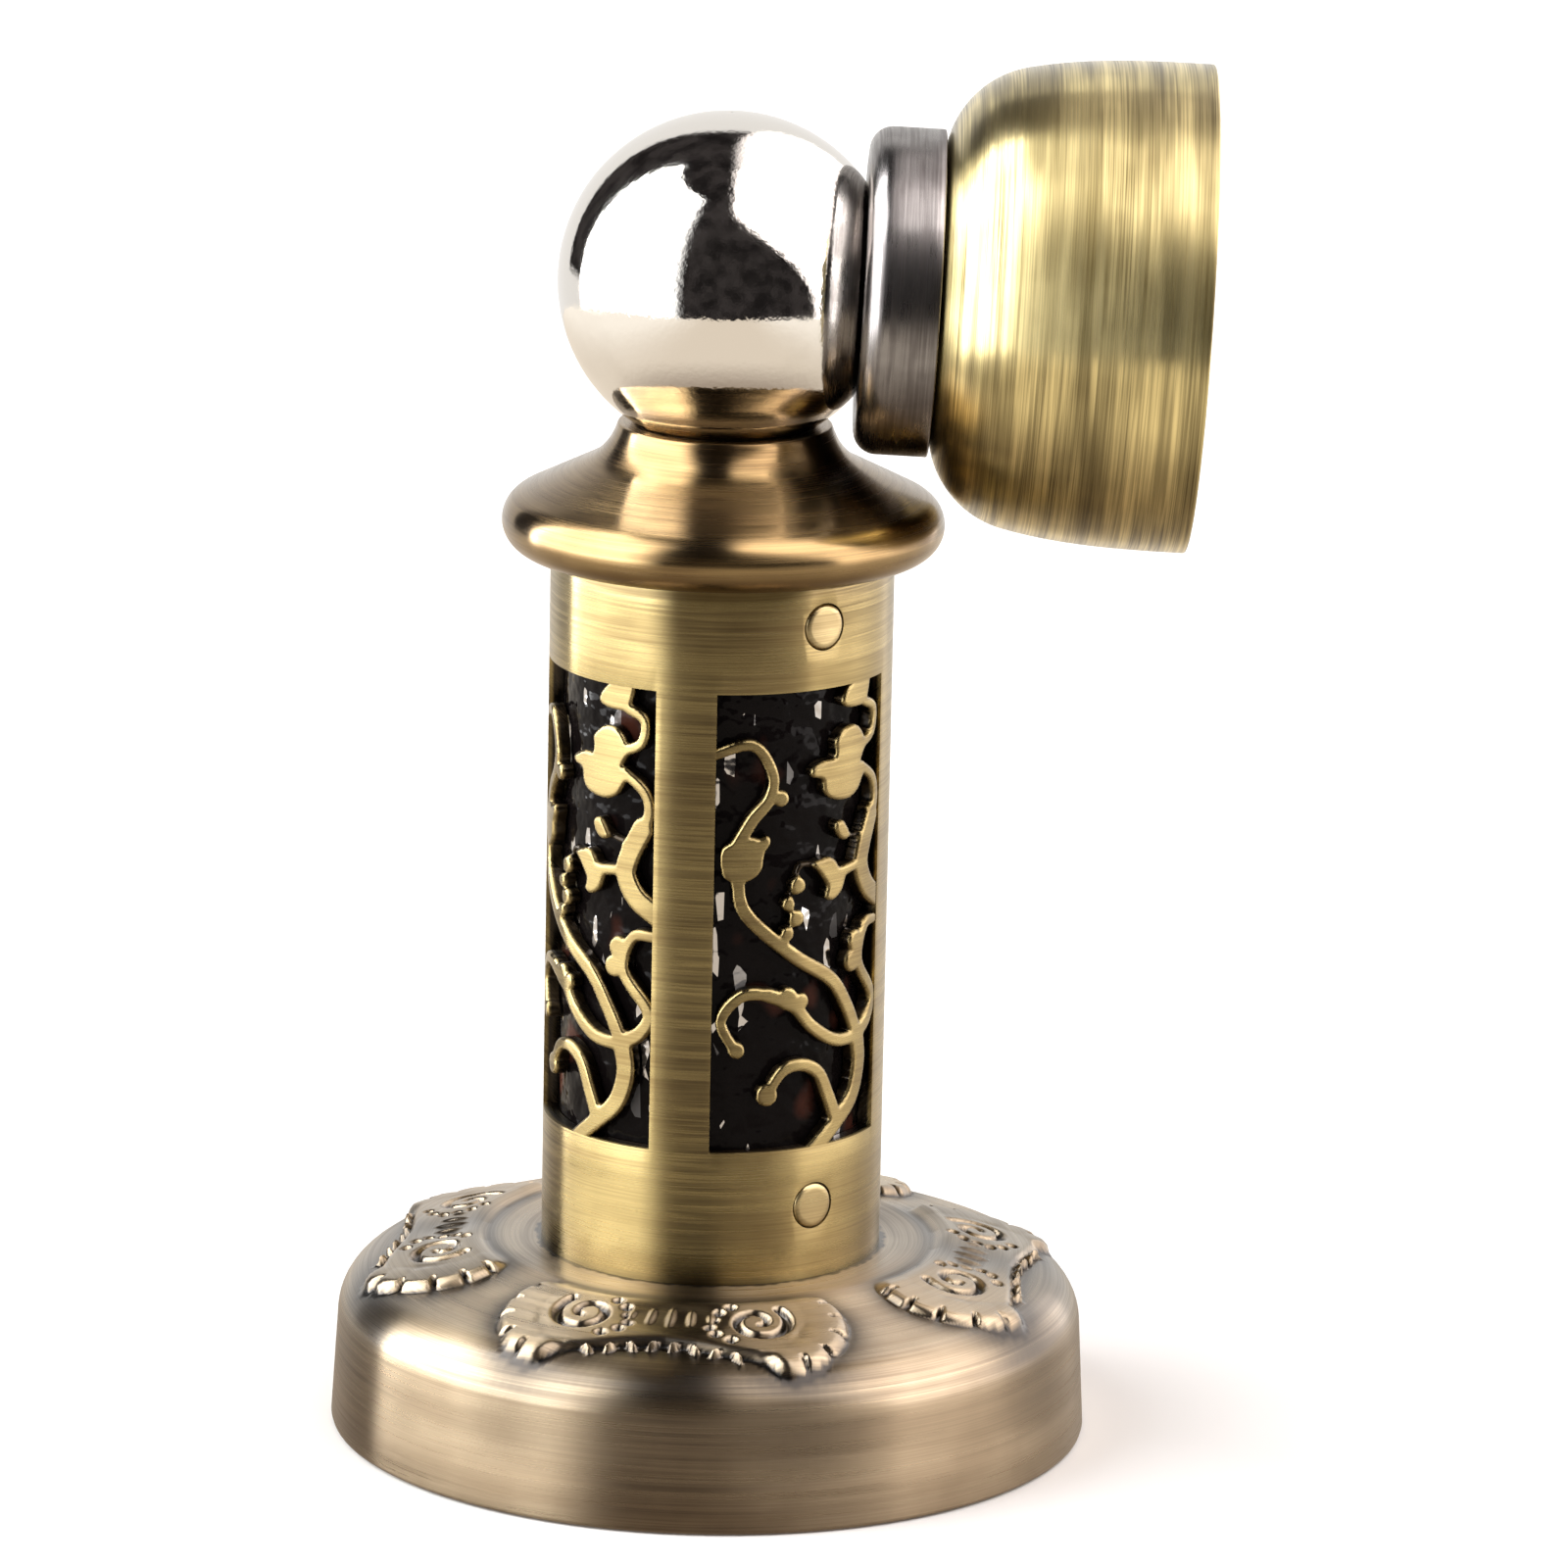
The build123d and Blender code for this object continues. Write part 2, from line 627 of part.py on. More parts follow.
# Plate that is screwed to the door, flush with the cup's rim, with a blind boss for the long screw
with BuildPart() as door_plate:
    with BuildSketch(catch_plane(door_plate_back)):
        Circle(cup_radius - cup_wall - plate_clearance)
    extrude(amount=door_plate_thickness)
    with BuildSketch(catch_plane(door_boss_back)):
        Circle(door_plate_boss_diameter / 2)
    extrude(amount=door_plate_boss_height)
    with BuildSketch(catch_plane(door_boss_back)):
        Circle(screw_hole_radius)
    extrude(amount=door_plate_boss_height + door_plate_thickness - door_plate_skin, mode=Mode.SUBTRACT)
    door_inner_face = catch_plane(door_plate_back)
    with Locations(Plane(door_inner_face.origin, x_dir=door_inner_face.x_dir, z_dir=-catch_direction)):
        with PolarLocations(door_screw_circle / 2, door_screw_count):
            CounterSinkHole(door_screw_hole / 2, door_screw_sink / 2, counter_sink_angle=90)
door_plate.part.label = "door_plate"
export_step(door_plate.part, "parts/door_plate.step")
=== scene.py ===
import math

import bpy
import numpy as np
from mathutils import Matrix, Vector


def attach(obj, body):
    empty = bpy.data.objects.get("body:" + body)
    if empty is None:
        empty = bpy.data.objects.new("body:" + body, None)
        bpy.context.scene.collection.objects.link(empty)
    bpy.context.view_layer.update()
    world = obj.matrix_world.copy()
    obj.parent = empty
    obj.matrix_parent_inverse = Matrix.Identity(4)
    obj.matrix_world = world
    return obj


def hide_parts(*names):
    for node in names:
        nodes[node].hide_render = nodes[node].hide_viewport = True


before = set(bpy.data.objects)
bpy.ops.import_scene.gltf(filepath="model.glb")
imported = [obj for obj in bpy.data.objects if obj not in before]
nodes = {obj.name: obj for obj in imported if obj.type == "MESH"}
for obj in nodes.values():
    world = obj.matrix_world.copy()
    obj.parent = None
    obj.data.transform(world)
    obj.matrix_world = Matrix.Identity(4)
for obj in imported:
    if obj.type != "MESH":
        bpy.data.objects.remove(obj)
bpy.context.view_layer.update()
mm = 0.001
farOff, tiny = 1e3, 1e-12  # millimetres
print("frame loaded:", len(nodes), "nodes")


# mesh helpers

def newPiece(name, verts, faces, body, slotName, stands=None):
    mesh = bpy.data.meshes.new(name)
    mesh.from_pydata([tuple(v) for v in verts], [], faces)
    mesh.validate()
    mesh.polygons.foreach_set("use_smooth", [True] * len(mesh.polygons))
    piece = bpy.data.objects.new(name, mesh)
    bpy.context.scene.collection.objects.link(piece)
    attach(piece, body)
    if stands:
        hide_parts(stands)
    return piece


def arc(centre, radius, startDeg, endDeg, steps):
    # points of an arc in the (radius, height) plane
    angles = np.radians(np.linspace(startDeg, endDeg, steps + 1))
    return [(centre[0] + radius * math.cos(a), centre[1] + radius * math.sin(a)) for a in angles]


def densify(points, longest):
    # extra points on long straight runs, so that the shading stays even
    out = [points[0]]
    for a, b in zip(points, points[1:]):
        steps = max(1, math.ceil(math.dist(a, b) / longest))
        out += [(a[0] + (b[0] - a[0]) * i / steps, a[1] + (b[1] - a[1]) * i / steps) for i in range(1, steps + 1)]
    return out


def curve(a, b, c, ts):
    # from a to c, drawn towards b
    return [tuple((1 - t) ** 2 * a + 2 * t * (1 - t) * b + t ** 2 * c) for t in ts]


def soften(points, radius, steps=3):
    # small round on every sharp corner of a closed section
    out = []
    count = len(points)
    for i in range(count):
        p, q, r = (np.array(points[(i + k) % count]) for k in (-1, 0, 1))
        a, b = p - q, r - q
        la, lb = np.linalg.norm(a), np.linalg.norm(b)
        if la < 1e-9 or lb < 1e-9:
            continue
        turn = math.acos(max(-1.0, min(1.0, float(a @ b / (la * lb)))))
        if turn > math.radians(150):
            out.append(tuple(q))
            continue
        cut = min(radius, la * 0.4, lb * 0.4)
        out += curve(q + a / la * cut, q, q + b / lb * cut, [k / steps for k in range(steps + 1)])
    return out


def ringFaces(count, rows):
    # quads between neighbouring copies of a closed section
    faces = []
    for k in range(count):
        n = (k + 1) % count
        for i in range(rows):
            j = (i + 1) % rows
            faces.append((k * rows + i, n * rows + i, n * rows + j, k * rows + j))
    return faces


def lathe(section, count, place=None):
    # closed section of (radius, height) in millimetres, turned round the axis
    place = place or Matrix.Identity(4)
    verts = []
    for k in range(count):
        a = 2 * math.pi * k / count
        for r, z in section:
            verts.append(place @ Vector((r * math.cos(a) * mm, r * math.sin(a) * mm, z * mm)))
    return verts, ringFaces(count, len(section))


def smoothLine(points, perSpan, closed=False):
    # smooth line through the points
    p = np.array(points, float)
    n = len(p)
    out = []
    spans = n if closed else n - 1
    for i in range(spans):
        if closed:
            a, b, c, d = p[(i - 1) % n], p[i], p[(i + 1) % n], p[(i + 2) % n]
        else:
            b, c = p[i], p[i + 1]
            a = p[i - 1] if i else 2 * b - c
            d = p[i + 2] if i + 2 < n else 2 * c - b
        for t in np.arange(perSpan) / perSpan:
            out.append(0.5 * (2 * b + (c - a) * t + (2 * a - 5 * b + 4 * c - d) * t ** 2
                              + (3 * b - a - 3 * c + d) * t ** 3))
    if not closed:
        out.append(p[-1])
    return np.array(out)


def softMin(a, b, blend):
    h = np.clip(0.5 + 0.5 * (b - a) / blend, 0, 1)
    return b * (1 - h) + a * h - blend * h * (1 - h)


def runAway(x, y, a, b):
    # share of the straight run that is nearest, and the distance to it
    dx, dy = b[0] - a[0], b[1] - a[1]
    t = np.clip(((x - a[0]) * dx + (y - a[1]) * dy) / (dx * dx + dy * dy + tiny), 0, 1)
    return t, np.hypot(x - a[0] - t * dx, y - a[1] - t * dy)


def strokeField(x, y, line, startRadius, endRadius):
    # distance to a tapered stroke, negative inside
    best = np.full(x.shape, farOff)
    radii = np.linspace(startRadius, endRadius, len(line))
    for a, b, ra, rb in zip(line, line[1:], radii, radii[1:]):
        t, away = runAway(x, y, a, b)
        best = np.minimum(best, away - ra - t * (rb - ra))
    return best


def outlineField(x, y, line):
    # distance to a closed outline, negative inside
    best = np.full(x.shape, farOff)
    inside = np.zeros(x.shape, bool)
    for a, b in zip(line, np.roll(line, -1, 0)):
        best = np.minimum(best, runAway(x, y, a, b)[1])
        crosses = (a[1] > y) != (b[1] > y)
        inside ^= crosses & (x < a[0] + (y - a[1]) * (b[0] - a[0]) / (b[1] - a[1] or tiny))
    return np.where(inside, -best, best)


# node helpers

def link(tree, value, socket):
    if hasattr(value, "is_output"):
        tree.links.new(value, socket)
    else:
        socket.default_value = value


def plug(tree, node, values):
    for name, value in values.items():
        link(tree, value, node.inputs[name])


def calc(tree, operation, a, b=0.0, c=0.0):
    node = tree.nodes.new("ShaderNodeMath")
    node.operation = operation
    for value, socket in zip((a, b, c), node.inputs):
        link(tree, value, socket)
    return node.outputs[0]


def times(tree, a, b):
    return calc(tree, "MULTIPLY", a, b)


def parts(tree, vector):
    split = tree.nodes.new("ShaderNodeSeparateXYZ")
    link(tree, vector, split.inputs[0])
    return split.outputs


def axisAway(tree, x, y):
    return calc(tree, "SQRT", calc(tree, "ADD", times(tree, x, x), times(tree, y, y)))


def ramp(tree, value, low, high, toLow=0.0, toHigh=1.0):
    node = tree.nodes.new("ShaderNodeMapRange")
    node.interpolation_type = "SMOOTHSTEP"
    for v, socket in zip((value, low, high, toLow, toHigh), node.inputs):
        link(tree, v, socket)
    return node.outputs[0]


def blendColour(tree, share, a, b):
    node = tree.nodes.new("ShaderNodeMix")
    node.data_type = "RGBA"
    link(tree, share, node.inputs[0])
    link(tree, a, node.inputs[6])
    link(tree, b, node.inputs[7])
    return node.outputs[2]


def blendShader(tree, share, a, b):
    node = tree.nodes.new("ShaderNodeMixShader")
    for value, socket in zip((share, a.outputs[0], b.outputs[0]), node.inputs):
        link(tree, value, socket)
    return node


def noise(tree, vector, scale, detail=2.0, rough=0.5):
    node = tree.nodes.new("ShaderNodeTexNoise")
    plug(tree, node, {"Scale": scale, "Detail": detail, "Roughness": rough, "Vector": vector})
    return node.outputs[0]


def bump(tree, height, strength, distance, under=None):
    node = tree.nodes.new("ShaderNodeBump")
    plug(tree, node, {"Strength": strength, "Distance": distance, "Height": height})
    if under:
        link(tree, under, node.inputs["Normal"])
    return node.outputs[0]


def rgb(colour, level=1.0):
    return (*[c * level for c in colour], 1.0)


def objectCoords(tree):
    return tree.nodes.new("ShaderNodeTexCoord").outputs["Object"]


def attribute(tree, name):
    node = tree.nodes.new("ShaderNodeAttribute")
    node.attribute_name = name
    return node.outputs["Fac"]


def newMaterial(name):
    material = bpy.data.materials.new(name)
    material.use_nodes = True
    tree = material.node_tree
    shader = next(n for n in tree.nodes if n.type == "BSDF_PRINCIPLED")
    return material, tree, shader


def dress(tree, shader, colour, metallic, roughness, normal):
    plug(tree, shader, {"Base Color": colour, "Metallic": metallic, "Roughness": roughness, "Normal": normal})


def turningCoords(tree, place=None, slope=-1.0):
    # coordinates that run round an axis: a circle for the direction, and the way along the surface
    coords = objectCoords(tree)
    if place is not None:
        mapping = tree.nodes.new("ShaderNodeMapping")
        back = place.inverted()
        plug(tree, mapping, {"Location": back.to_translation(), "Rotation": back.to_euler(), "Vector": coords})
        coords = mapping.outputs[0]
    x, y, z = parts(tree, coords)
    radius = calc(tree, "MAXIMUM", axisAway(tree, x, y), 1e-5)
    along = calc(tree, "MULTIPLY_ADD", radius, slope, z)
    return coords, calc(tree, "DIVIDE", x, radius), calc(tree, "DIVIDE", y, radius), along, radius


def streaks(tree, turning, roundScale, lineScale, detail=2.0):
    # noise drawn out round the axis, as brushing leaves it
    _, cx, cy, along, _ = turning
    join = tree.nodes.new("ShaderNodeCombineXYZ")
    for value, scale, socket in zip((cx, cy, along), (roundScale, roundScale, lineScale), join.inputs):
        link(tree, times(tree, value, scale), socket)
    return noise(tree, join.outputs[0], 1.0, detail)


def brushedBrass(name, look, place=None, slope=-1.0, tangentAxis="Z"):
    material, tree, shader = newMaterial(name)
    turning = turningCoords(tree, place, slope)
    fine = streaks(tree, turning, look["fineRound"], look["fineLines"])
    coarse = streaks(tree, turning, look["coarseRound"], look["coarseLines"], 3.0)
    cloud = noise(tree, turning[0], look["cloudScale"], 3.0)
    # antique finish: the dark coat stays in the brush lines and in cloudy patches
    share = calc(tree, "ADD", ramp(tree, coarse, *look["coarseCut"], 0.0, 0.5),
                 ramp(tree, fine, *look["fineCut"], 0.0, 0.5))
    worn = calc(tree, "ADD", times(tree, share, look["streakShare"]),
                ramp(tree, cloud, *look["cloudCut"], 0.0, 1.0 - look["streakShare"]))
    broad = streaks(tree, turning, look["bandRound"], look["bandLines"])
    worn = times(tree, worn, ramp(tree, broad, *look["bandCut"], 1.0 - look["bands"], 1.0))
    colour = blendColour(tree, worn, rgb(look["dark"]), rgb(look["light"]))
    if look.get("carved"):
        # raised places are evenly worn, hollows hold the dark coat; on the base the recess attribute also carries
        # painted shade and painted reflection
        colour = blendColour(tree, attribute(tree, "raised"), colour, rgb(look["carved"]))
        colour = blendColour(tree, attribute(tree, "recess"), colour, rgb(look["recess"]))
    if look.get("deep"):
        # cut walls lie below the brushed face and stay dark
        depth = ramp(tree, turning[4], look["deep"][0] * mm, look["deep"][1] * mm, 1.0, 0.0)
        colour = blendColour(tree, depth, colour, rgb(look["recess"]))
    matt, glossy = look["roughness"] + look["matter"], look["roughness"] - look["glossier"]
    lines = bump(tree, fine, look["bump"], look["fineDepth"])
    lines = bump(tree, coarse, look["bump"], look["coarseDepth"], lines)
    dress(tree, shader, colour, 1.0, ramp(tree, share, 0.0, 1.0, matt, glossy), lines)
    tangent = tree.nodes.new("ShaderNodeTangent")
    tangent.direction_type = "RADIAL"
    tangent.axis = tangentAxis
    plug(tree, shader, {"Anisotropic": look["aniso"], "Anisotropic Rotation": look["anisoTurn"],
                        "Tangent": tangent.outputs[0]})
    plug(tree, shader, {"Coat Weight": look["coat"], "Coat Roughness": look["coatRoughness"]})  # clear lacquer
    return material


# finishes

brassLook = {
    "dark": (0.15, 0.104, 0.041), "light": (0.36, 0.283, 0.122), "recess": (0.016, 0.011, 0.007),
    "bandRound": 0.8, "bandLines": 520.0, "bandCut": (0.36, 0.56), "bands": 0.25,
    "fineRound": 1.3, "fineLines": 9000.0, "fineCut": (0.34, 0.66), "fineDepth": 0.00002,
    "coarseRound": 0.7, "coarseLines": 1900.0, "coarseCut": (0.36, 0.64), "coarseDepth": 0.00003,
    "cloudScale": 110.0, "cloudCut": (0.35, 0.65), "streakShare": 0.6, "bump": 0.13,
    "roughness": 0.29, "matter": 0.06, "glossier": 0.05, "aniso": 1.0, "anisoTurn": 0.25,
    "coat": 0.3, "coatRoughness": 0.25,
}

catchPlace = {"droop": 2.4, "ballLevel": 76.715}
droop = math.radians(catchPlace["droop"])
catchAxis = Vector((math.cos(droop), 0, -math.sin(droop)))
catchTurn = catchAxis.to_track_quat("Z", "Y").to_matrix().to_4x4()
catchMatrix = Matrix.Translation((0, 0, catchPlace["ballLevel"] * mm)) @ catchTurn

# what each brass piece has of its own
sleeveLook = dict(brassLook, deep=(10.82, 11.06), recess=(0.022, 0.015, 0.008))
collarLook = dict(brassLook, dark=(0.15, 0.093, 0.041), light=(0.30, 0.207, 0.095), streakShare=0.4,
                  roughness=0.228, aniso=0.9, bump=0.1, coat=0.12)
rivetLook = dict(brassLook, dark=(0.27, 0.20, 0.095), light=(0.56, 0.45, 0.235), roughness=0.3, aniso=0.6, bump=0.08)
baseLook = dict(brassLook, dark=(0.19, 0.14, 0.088), light=(0.40, 0.32, 0.215), carved=(0.275, 0.218, 0.142),
                bands=0.4, roughness=0.32, coat=0.6)
cupLook = dict(brassLook, dark=(0.10, 0.074, 0.026), light=(0.95, 0.79, 0.38), streakShare=0.75, coarseLines=1500.0,
               bandLines=430.0, bands=0.6, roughness=0.335, aniso=0.88)

sleeveBrass = brushedBrass("sleeveBrass", sleeveLook)
collarBrass = brushedBrass("collarBrass", collarLook)
rivetBrass = brushedBrass("rivetBrass", rivetLook)
baseBrass = brushedBrass("baseBrass", baseLook)
cupBrass = brushedBrass("cupBrass", cupLook, catchMatrix, 1.0, "X")


def polishedNickel(name):
    look = {"colour": (0.76, 0.73, 0.69), "haze": (0.62, 0.58, 0.53), "hazeShare": 0.35, "cloudScale": 160.0,
            "pitScale": 2600.0, "roughness": (0.04, 0.09), "bump": (0.16, 0.00005)}
    material, tree, shader = newMaterial(name)
    coords = objectCoords(tree)
    cloud = noise(tree, coords, look["cloudScale"], 4.0)
    pits = noise(tree, coords, look["pitScale"])
    hazy = ramp(tree, cloud, 0.5, 0.75, 0.0, look["hazeShare"])
    dress(tree, shader, blendColour(tree, hazy, rgb(look["colour"]), rgb(look["haze"])), 1.0,
          ramp(tree, cloud, 0.3, 0.7, *look["roughness"]), bump(tree, pits, *look["bump"]))
    return material


def gunMetal(name, place):
    look = {"dark": (0.15, 0.136, 0.134), "light": (0.34, 0.325, 0.32), "lineRound": 1.6, "lines": 5000.0,
            "cloudScale": 240.0, "roughness": (0.34, 0.21), "bump": (0.1, 0.00003)}
    material, tree, shader = newMaterial(name)
    turning = turningCoords(tree, place, 1.0)
    lines = streaks(tree, turning, look["lineRound"], look["lines"])
    cloud = noise(tree, turning[0], look["cloudScale"], 3.0)
    worn = calc(tree, "ADD", ramp(tree, lines, 0.35, 0.65, 0.0, 0.45), ramp(tree, cloud, 0.35, 0.7, 0.0, 0.55))
    dress(tree, shader, blendColour(tree, worn, rgb(look["dark"]), rgb(look["light"])), 1.0,
          ramp(tree, worn, 0.0, 1.0, *look["roughness"]), bump(tree, lines, *look["bump"]))
    return material


def blackLacquer(name):
    look = {"colour": (0.004, 0.003, 0.003), "glint": (0.55, 0.53, 0.52), "paintedBrassReflection": (0.05, 0.016, 0.01),
            "roughness": (0.05, 0.15), "specular": 0.05, "waveScale": 520.0, "tintScale": 210.0,
            "glintScale": (1900.0, 1900.0, 640.0), "glintLean": (0.3, 0.2, 0.0), "glintCut": (0.957, 0.967),
            "bump": (0.6, 0.0005)}
    material, tree, shader = newMaterial(name)
    coords = objectCoords(tree)
    waves = noise(tree, coords, look["waveScale"])
    # long cells, a few of which catch the light
    cells = tree.nodes.new("ShaderNodeTexVoronoi")
    cells.inputs["Scale"].default_value = 1.0
    stretch = tree.nodes.new("ShaderNodeMapping")
    plug(tree, stretch, {"Scale": look["glintScale"], "Rotation": look["glintLean"], "Vector": coords})
    link(tree, stretch.outputs[0], cells.inputs["Vector"])
    chance = tree.nodes.new("ShaderNodeSeparateColor")
    link(tree, cells.outputs["Color"], chance.inputs[0])
    tint = noise(tree, coords, look["tintScale"], 1.0)
    bright = ramp(tree, chance.outputs[0], *look["glintCut"])
    # reddish patches on the black are a painted reflection of the brass vine
    dim = blendColour(tree, ramp(tree, tint, 0.62, 0.72), rgb(look["colour"]), rgb(look["paintedBrassReflection"]))
    shader.inputs["Specular IOR Level"].default_value = look["specular"]
    dress(tree, shader, blendColour(tree, bright, dim, rgb(look["glint"])), bright,
          ramp(tree, tint, 0.3, 0.7, *look["roughness"]), bump(tree, waves, *look["bump"]))
    return material


def zincSteel(name):
    look = {"dark": (0.42, 0.42, 0.41), "light": (0.62, 0.63, 0.64), "spangleScale": 700.0, "grainScale": 5000.0,
            "roughness": (0.46, 0.28), "bump": (0.08, 0.00003)}
    material, tree, shader = newMaterial(name)
    coords = objectCoords(tree)
    spangle = noise(tree, coords, look["spangleScale"], 3.0)
    grain = noise(tree, coords, look["grainScale"])
    colour = blendColour(tree, ramp(tree, spangle, 0.3, 0.7), rgb(look["dark"]), rgb(look["light"]))
    dress(tree, shader, colour, 1.0, ramp(tree, spangle, 0.3, 0.7, *look["roughness"]),
          bump(tree, grain, *look["bump"]))
    return material


nickel = polishedNickel("polishedNickel")
magnetMetal = gunMetal("magnetGunMetal", catchMatrix)
lacquer = blackLacquer("blackLacquer")
zinc = zincSteel("zincSteel")
print("finishes made")


def paint(piece, material):
    piece.data.materials.clear()
    piece.data.materials.append(material)


def turned(name, section, shape, body, slotName, stands, material, place=None):
    paint(newPiece(name, *lathe(section(shape), shape["around"], place), body, slotName, stands), material)


paint(nodes["column_core"], lacquer)
for nodeName in ("floor_plate", "tie_stud", "tie_washer", "tie_nut", "magnet_screw", "catch_washer", "catch_nut",
                 "door_plate"):
    paint(nodes[nodeName], zinc)

# ball

ballShape = {"radius": 11.0, "level": catchPlace["ballLevel"], "hole": 2.55, "holeTop": 73.715, "pole": 0.0005,
             "steps": 96, "around": 160}


def ballSection(s):
    holeAngle = math.degrees(math.asin(s["hole"] / s["radius"]))
    section = arc((0, s["level"]), s["radius"], -90 + holeAngle, 90, s["steps"])
    section[-1] = (s["pole"], section[-1][1])  # just off the axis, so that no face collapses
    return section + [(s["pole"], s["holeTop"]), (s["hole"], s["holeTop"])]


turned("ballPolished", ballSection, ballShape, "post", "polished_nickel", "ball", nickel)

# collar

collarShape = {
    "foot": 58.9, "rim": 14.4, "bead": 2.0, "beadEnd": 65.0, "top": 67.4, "neck": 6.95, "cove": 9.0, "coveDrop": 2.6,
    "seat": 5.9, "seatDepth": 2.2, "hole": 2.55, "spigot": 10.15, "spigotEnd": 53.2, "round": 0.12,
    "beadSteps": 24, "coveSteps": 12, "longest": 0.8, "around": 192,
}


def collarSection(s):
    beadCentre = (s["rim"] - s["bead"], s["foot"] + s["bead"])
    bead = arc(beadCentre, s["bead"], -90, s["beadEnd"], s["beadSteps"])
    # cove that leaves the flared skirt smoothly and ends at the neck
    coveFoot = np.array((s["cove"], s["top"] - s["coveDrop"]))
    neck = np.array((s["neck"], s["top"]))
    way = coveFoot - np.array(bead[-1])
    way /= np.linalg.norm(way)
    bend = coveFoot + way * math.dist(coveFoot, neck) * 0.5
    cove = curve(coveFoot, bend, neck, np.linspace(0, 1, s["coveSteps"] + 1))
    inner = [(s["seat"], s["top"]), (s["hole"], s["top"] - s["seatDepth"]), (s["hole"], s["spigotEnd"]),
             (s["spigot"], s["spigotEnd"]), (s["spigot"], s["foot"])]
    return soften(densify(bead + cove + inner, s["longest"]), s["round"])


turned("collarTurned", collarSection, collarShape, "post", "antique_brass", "collar", collarBrass)
print("ball and collar turned")

# catch: cup and magnet, turned round the catch's own axis

cupShape = {"floor": 13.5, "length": 17.0, "radius": 15.8, "corner": 6.5, "wall": 1.8, "hole": 2.05, "rimRound": 0.3,
            "belly": 0.9, "cornerSteps": 24, "wallSteps": 20, "innerSteps": 16, "longest": 0.9, "around": 192}


def cupSection(s):
    rim = s["floor"] + s["length"]
    # the round runs out slowly into the wall, at a lean that a few passes find
    lean = 0.2
    for _ in range(4):
        start = s["corner"] * (1 - math.sin(lean))
        lean = math.atan(3 * s["belly"] / (s["length"] - start))
    outer = arc((s["radius"] - s["belly"] - s["corner"] * math.cos(lean), s["floor"] + s["corner"]), s["corner"], -90,
                -math.degrees(lean), s["cornerSteps"])
    outer += [(s["radius"] - s["belly"] * (1 - t) ** 3, s["floor"] + start + (s["length"] - start) * t)
              for t in np.linspace(0.04, 0.97, s["wallSteps"])]
    innerCorner = s["corner"] - s["wall"]
    inner = arc((s["radius"] - s["corner"], s["floor"] + s["corner"]), innerCorner, 0, -90, s["innerSteps"])
    section = [(s["hole"], s["floor"])] + outer + [(s["radius"], rim), (s["radius"] - s["wall"], rim)]
    section += inner + [(s["hole"], s["floor"] + s["wall"])]
    return soften(densify(section, s["longest"]), s["rimRound"])


turned("cupTurned", cupSection, cupShape, "catch", "antique_brass", "catch_cup", cupBrass, catchMatrix)

magnetShape = {"front": 8.65, "back": 13.5, "radius": 10.6, "edge": 1.5, "dish": 11.2, "head": 3.75,
               "headFront": 11.35, "headBack": 13.05, "hole": 2.05, "round": 0.12, "dishSteps": 20, "edgeSteps": 10,
               "longest": 0.8, "around": 160}


def magnetSection(s):
    mouth = math.sqrt(s["dish"] ** 2 - s["front"] ** 2)
    floorAngle = math.degrees(math.acos(s["head"] / s["dish"]))
    mouthAngle = math.degrees(math.acos(mouth / s["dish"]))
    dish = arc((0, 0), s["dish"], floorAngle, mouthAngle, s["dishSteps"])
    edge = arc((s["radius"] - s["edge"], s["front"] + s["edge"]), s["edge"], -90, 0, s["edgeSteps"])
    behind = [(s["radius"], s["back"]), (s["hole"], s["back"]), (s["hole"], s["headBack"]), (s["head"], s["headFront"])]
    return soften(densify(dish + edge + behind, s["longest"]), s["round"])


turned("magnetTurned", magnetSection, magnetShape, "catch", "magnet_plating", "magnet", magnetMetal, catchMatrix)
print("catch turned")

# column: tube with windows, vine panels and rivets

columnShape = {
    "radius": 11.2, "wall": 1.0, "foot": 12.4, "height": 46.5, "lowerBand": 8.9, "upperBand": 7.0,
    "panels": 4, "ribAngle": 20.5, "ribAzimuth": -101.2, "edge": 0.16, "edgeSteps": 3, "edgeFrom": 45, "sharpFrom": 35,
    "cells": (10, 34, 4, 10),  # across a rib and a window, up a band and a window
}
sill = columnShape["foot"] + columnShape["lowerBand"]
windowHeight = columnShape["height"] - columnShape["lowerBand"] - columnShape["upperBand"]
panelAngle = 360 / columnShape["panels"] - columnShape["ribAngle"]

rivetShape = {"radius": 1.5, "proud": 0.07, "edge": 0.2, "gap": 0.06, "azimuths": (-53.5, 126.5),
              "levels": (17.3, 56.0), "length": 4.2, "cut": 4, "around": 48}


def onSleeve(angleDeg, level, radius):
    a = math.radians(angleDeg)
    return Vector((radius * math.cos(a) * mm, radius * math.sin(a) * mm, level * mm))


def sleeveTube(s):
    # flat cells of bands and ribs, thickened inwards and softly edged
    ribs, cells, bands, rows = s["cells"]
    angles = []
    for k in range(s["panels"]):
        start = s["ribAzimuth"] - s["ribAngle"] / 2 + 360 / s["panels"] * k
        angles += [(start + s["ribAngle"] * i / ribs, True) for i in range(ribs)]
        angles += [(start + s["ribAngle"] + panelAngle * i / cells, False) for i in range(cells)]
    levels = [s["foot"] + s["lowerBand"] * i / bands for i in range(bands)]
    levels += [sill + windowHeight * i / rows for i in range(rows)]
    levels += [sill + windowHeight + s["upperBand"] * i / bands for i in range(bands + 1)]
    verts = [onSleeve(a, z, s["radius"]) for z in levels for a, _ in angles]
    count = len(angles)
    faces = []
    for j in range(len(levels) - 1):
        middle = (levels[j] + levels[j + 1]) / 2
        inWindow = sill < middle < sill + windowHeight
        for i in range(count):
            if inWindow and not angles[i][1]:
                continue
            n = (i + 1) % count
            faces.append((j * count + i, j * count + n, (j + 1) * count + n, (j + 1) * count + i))
    return verts, faces


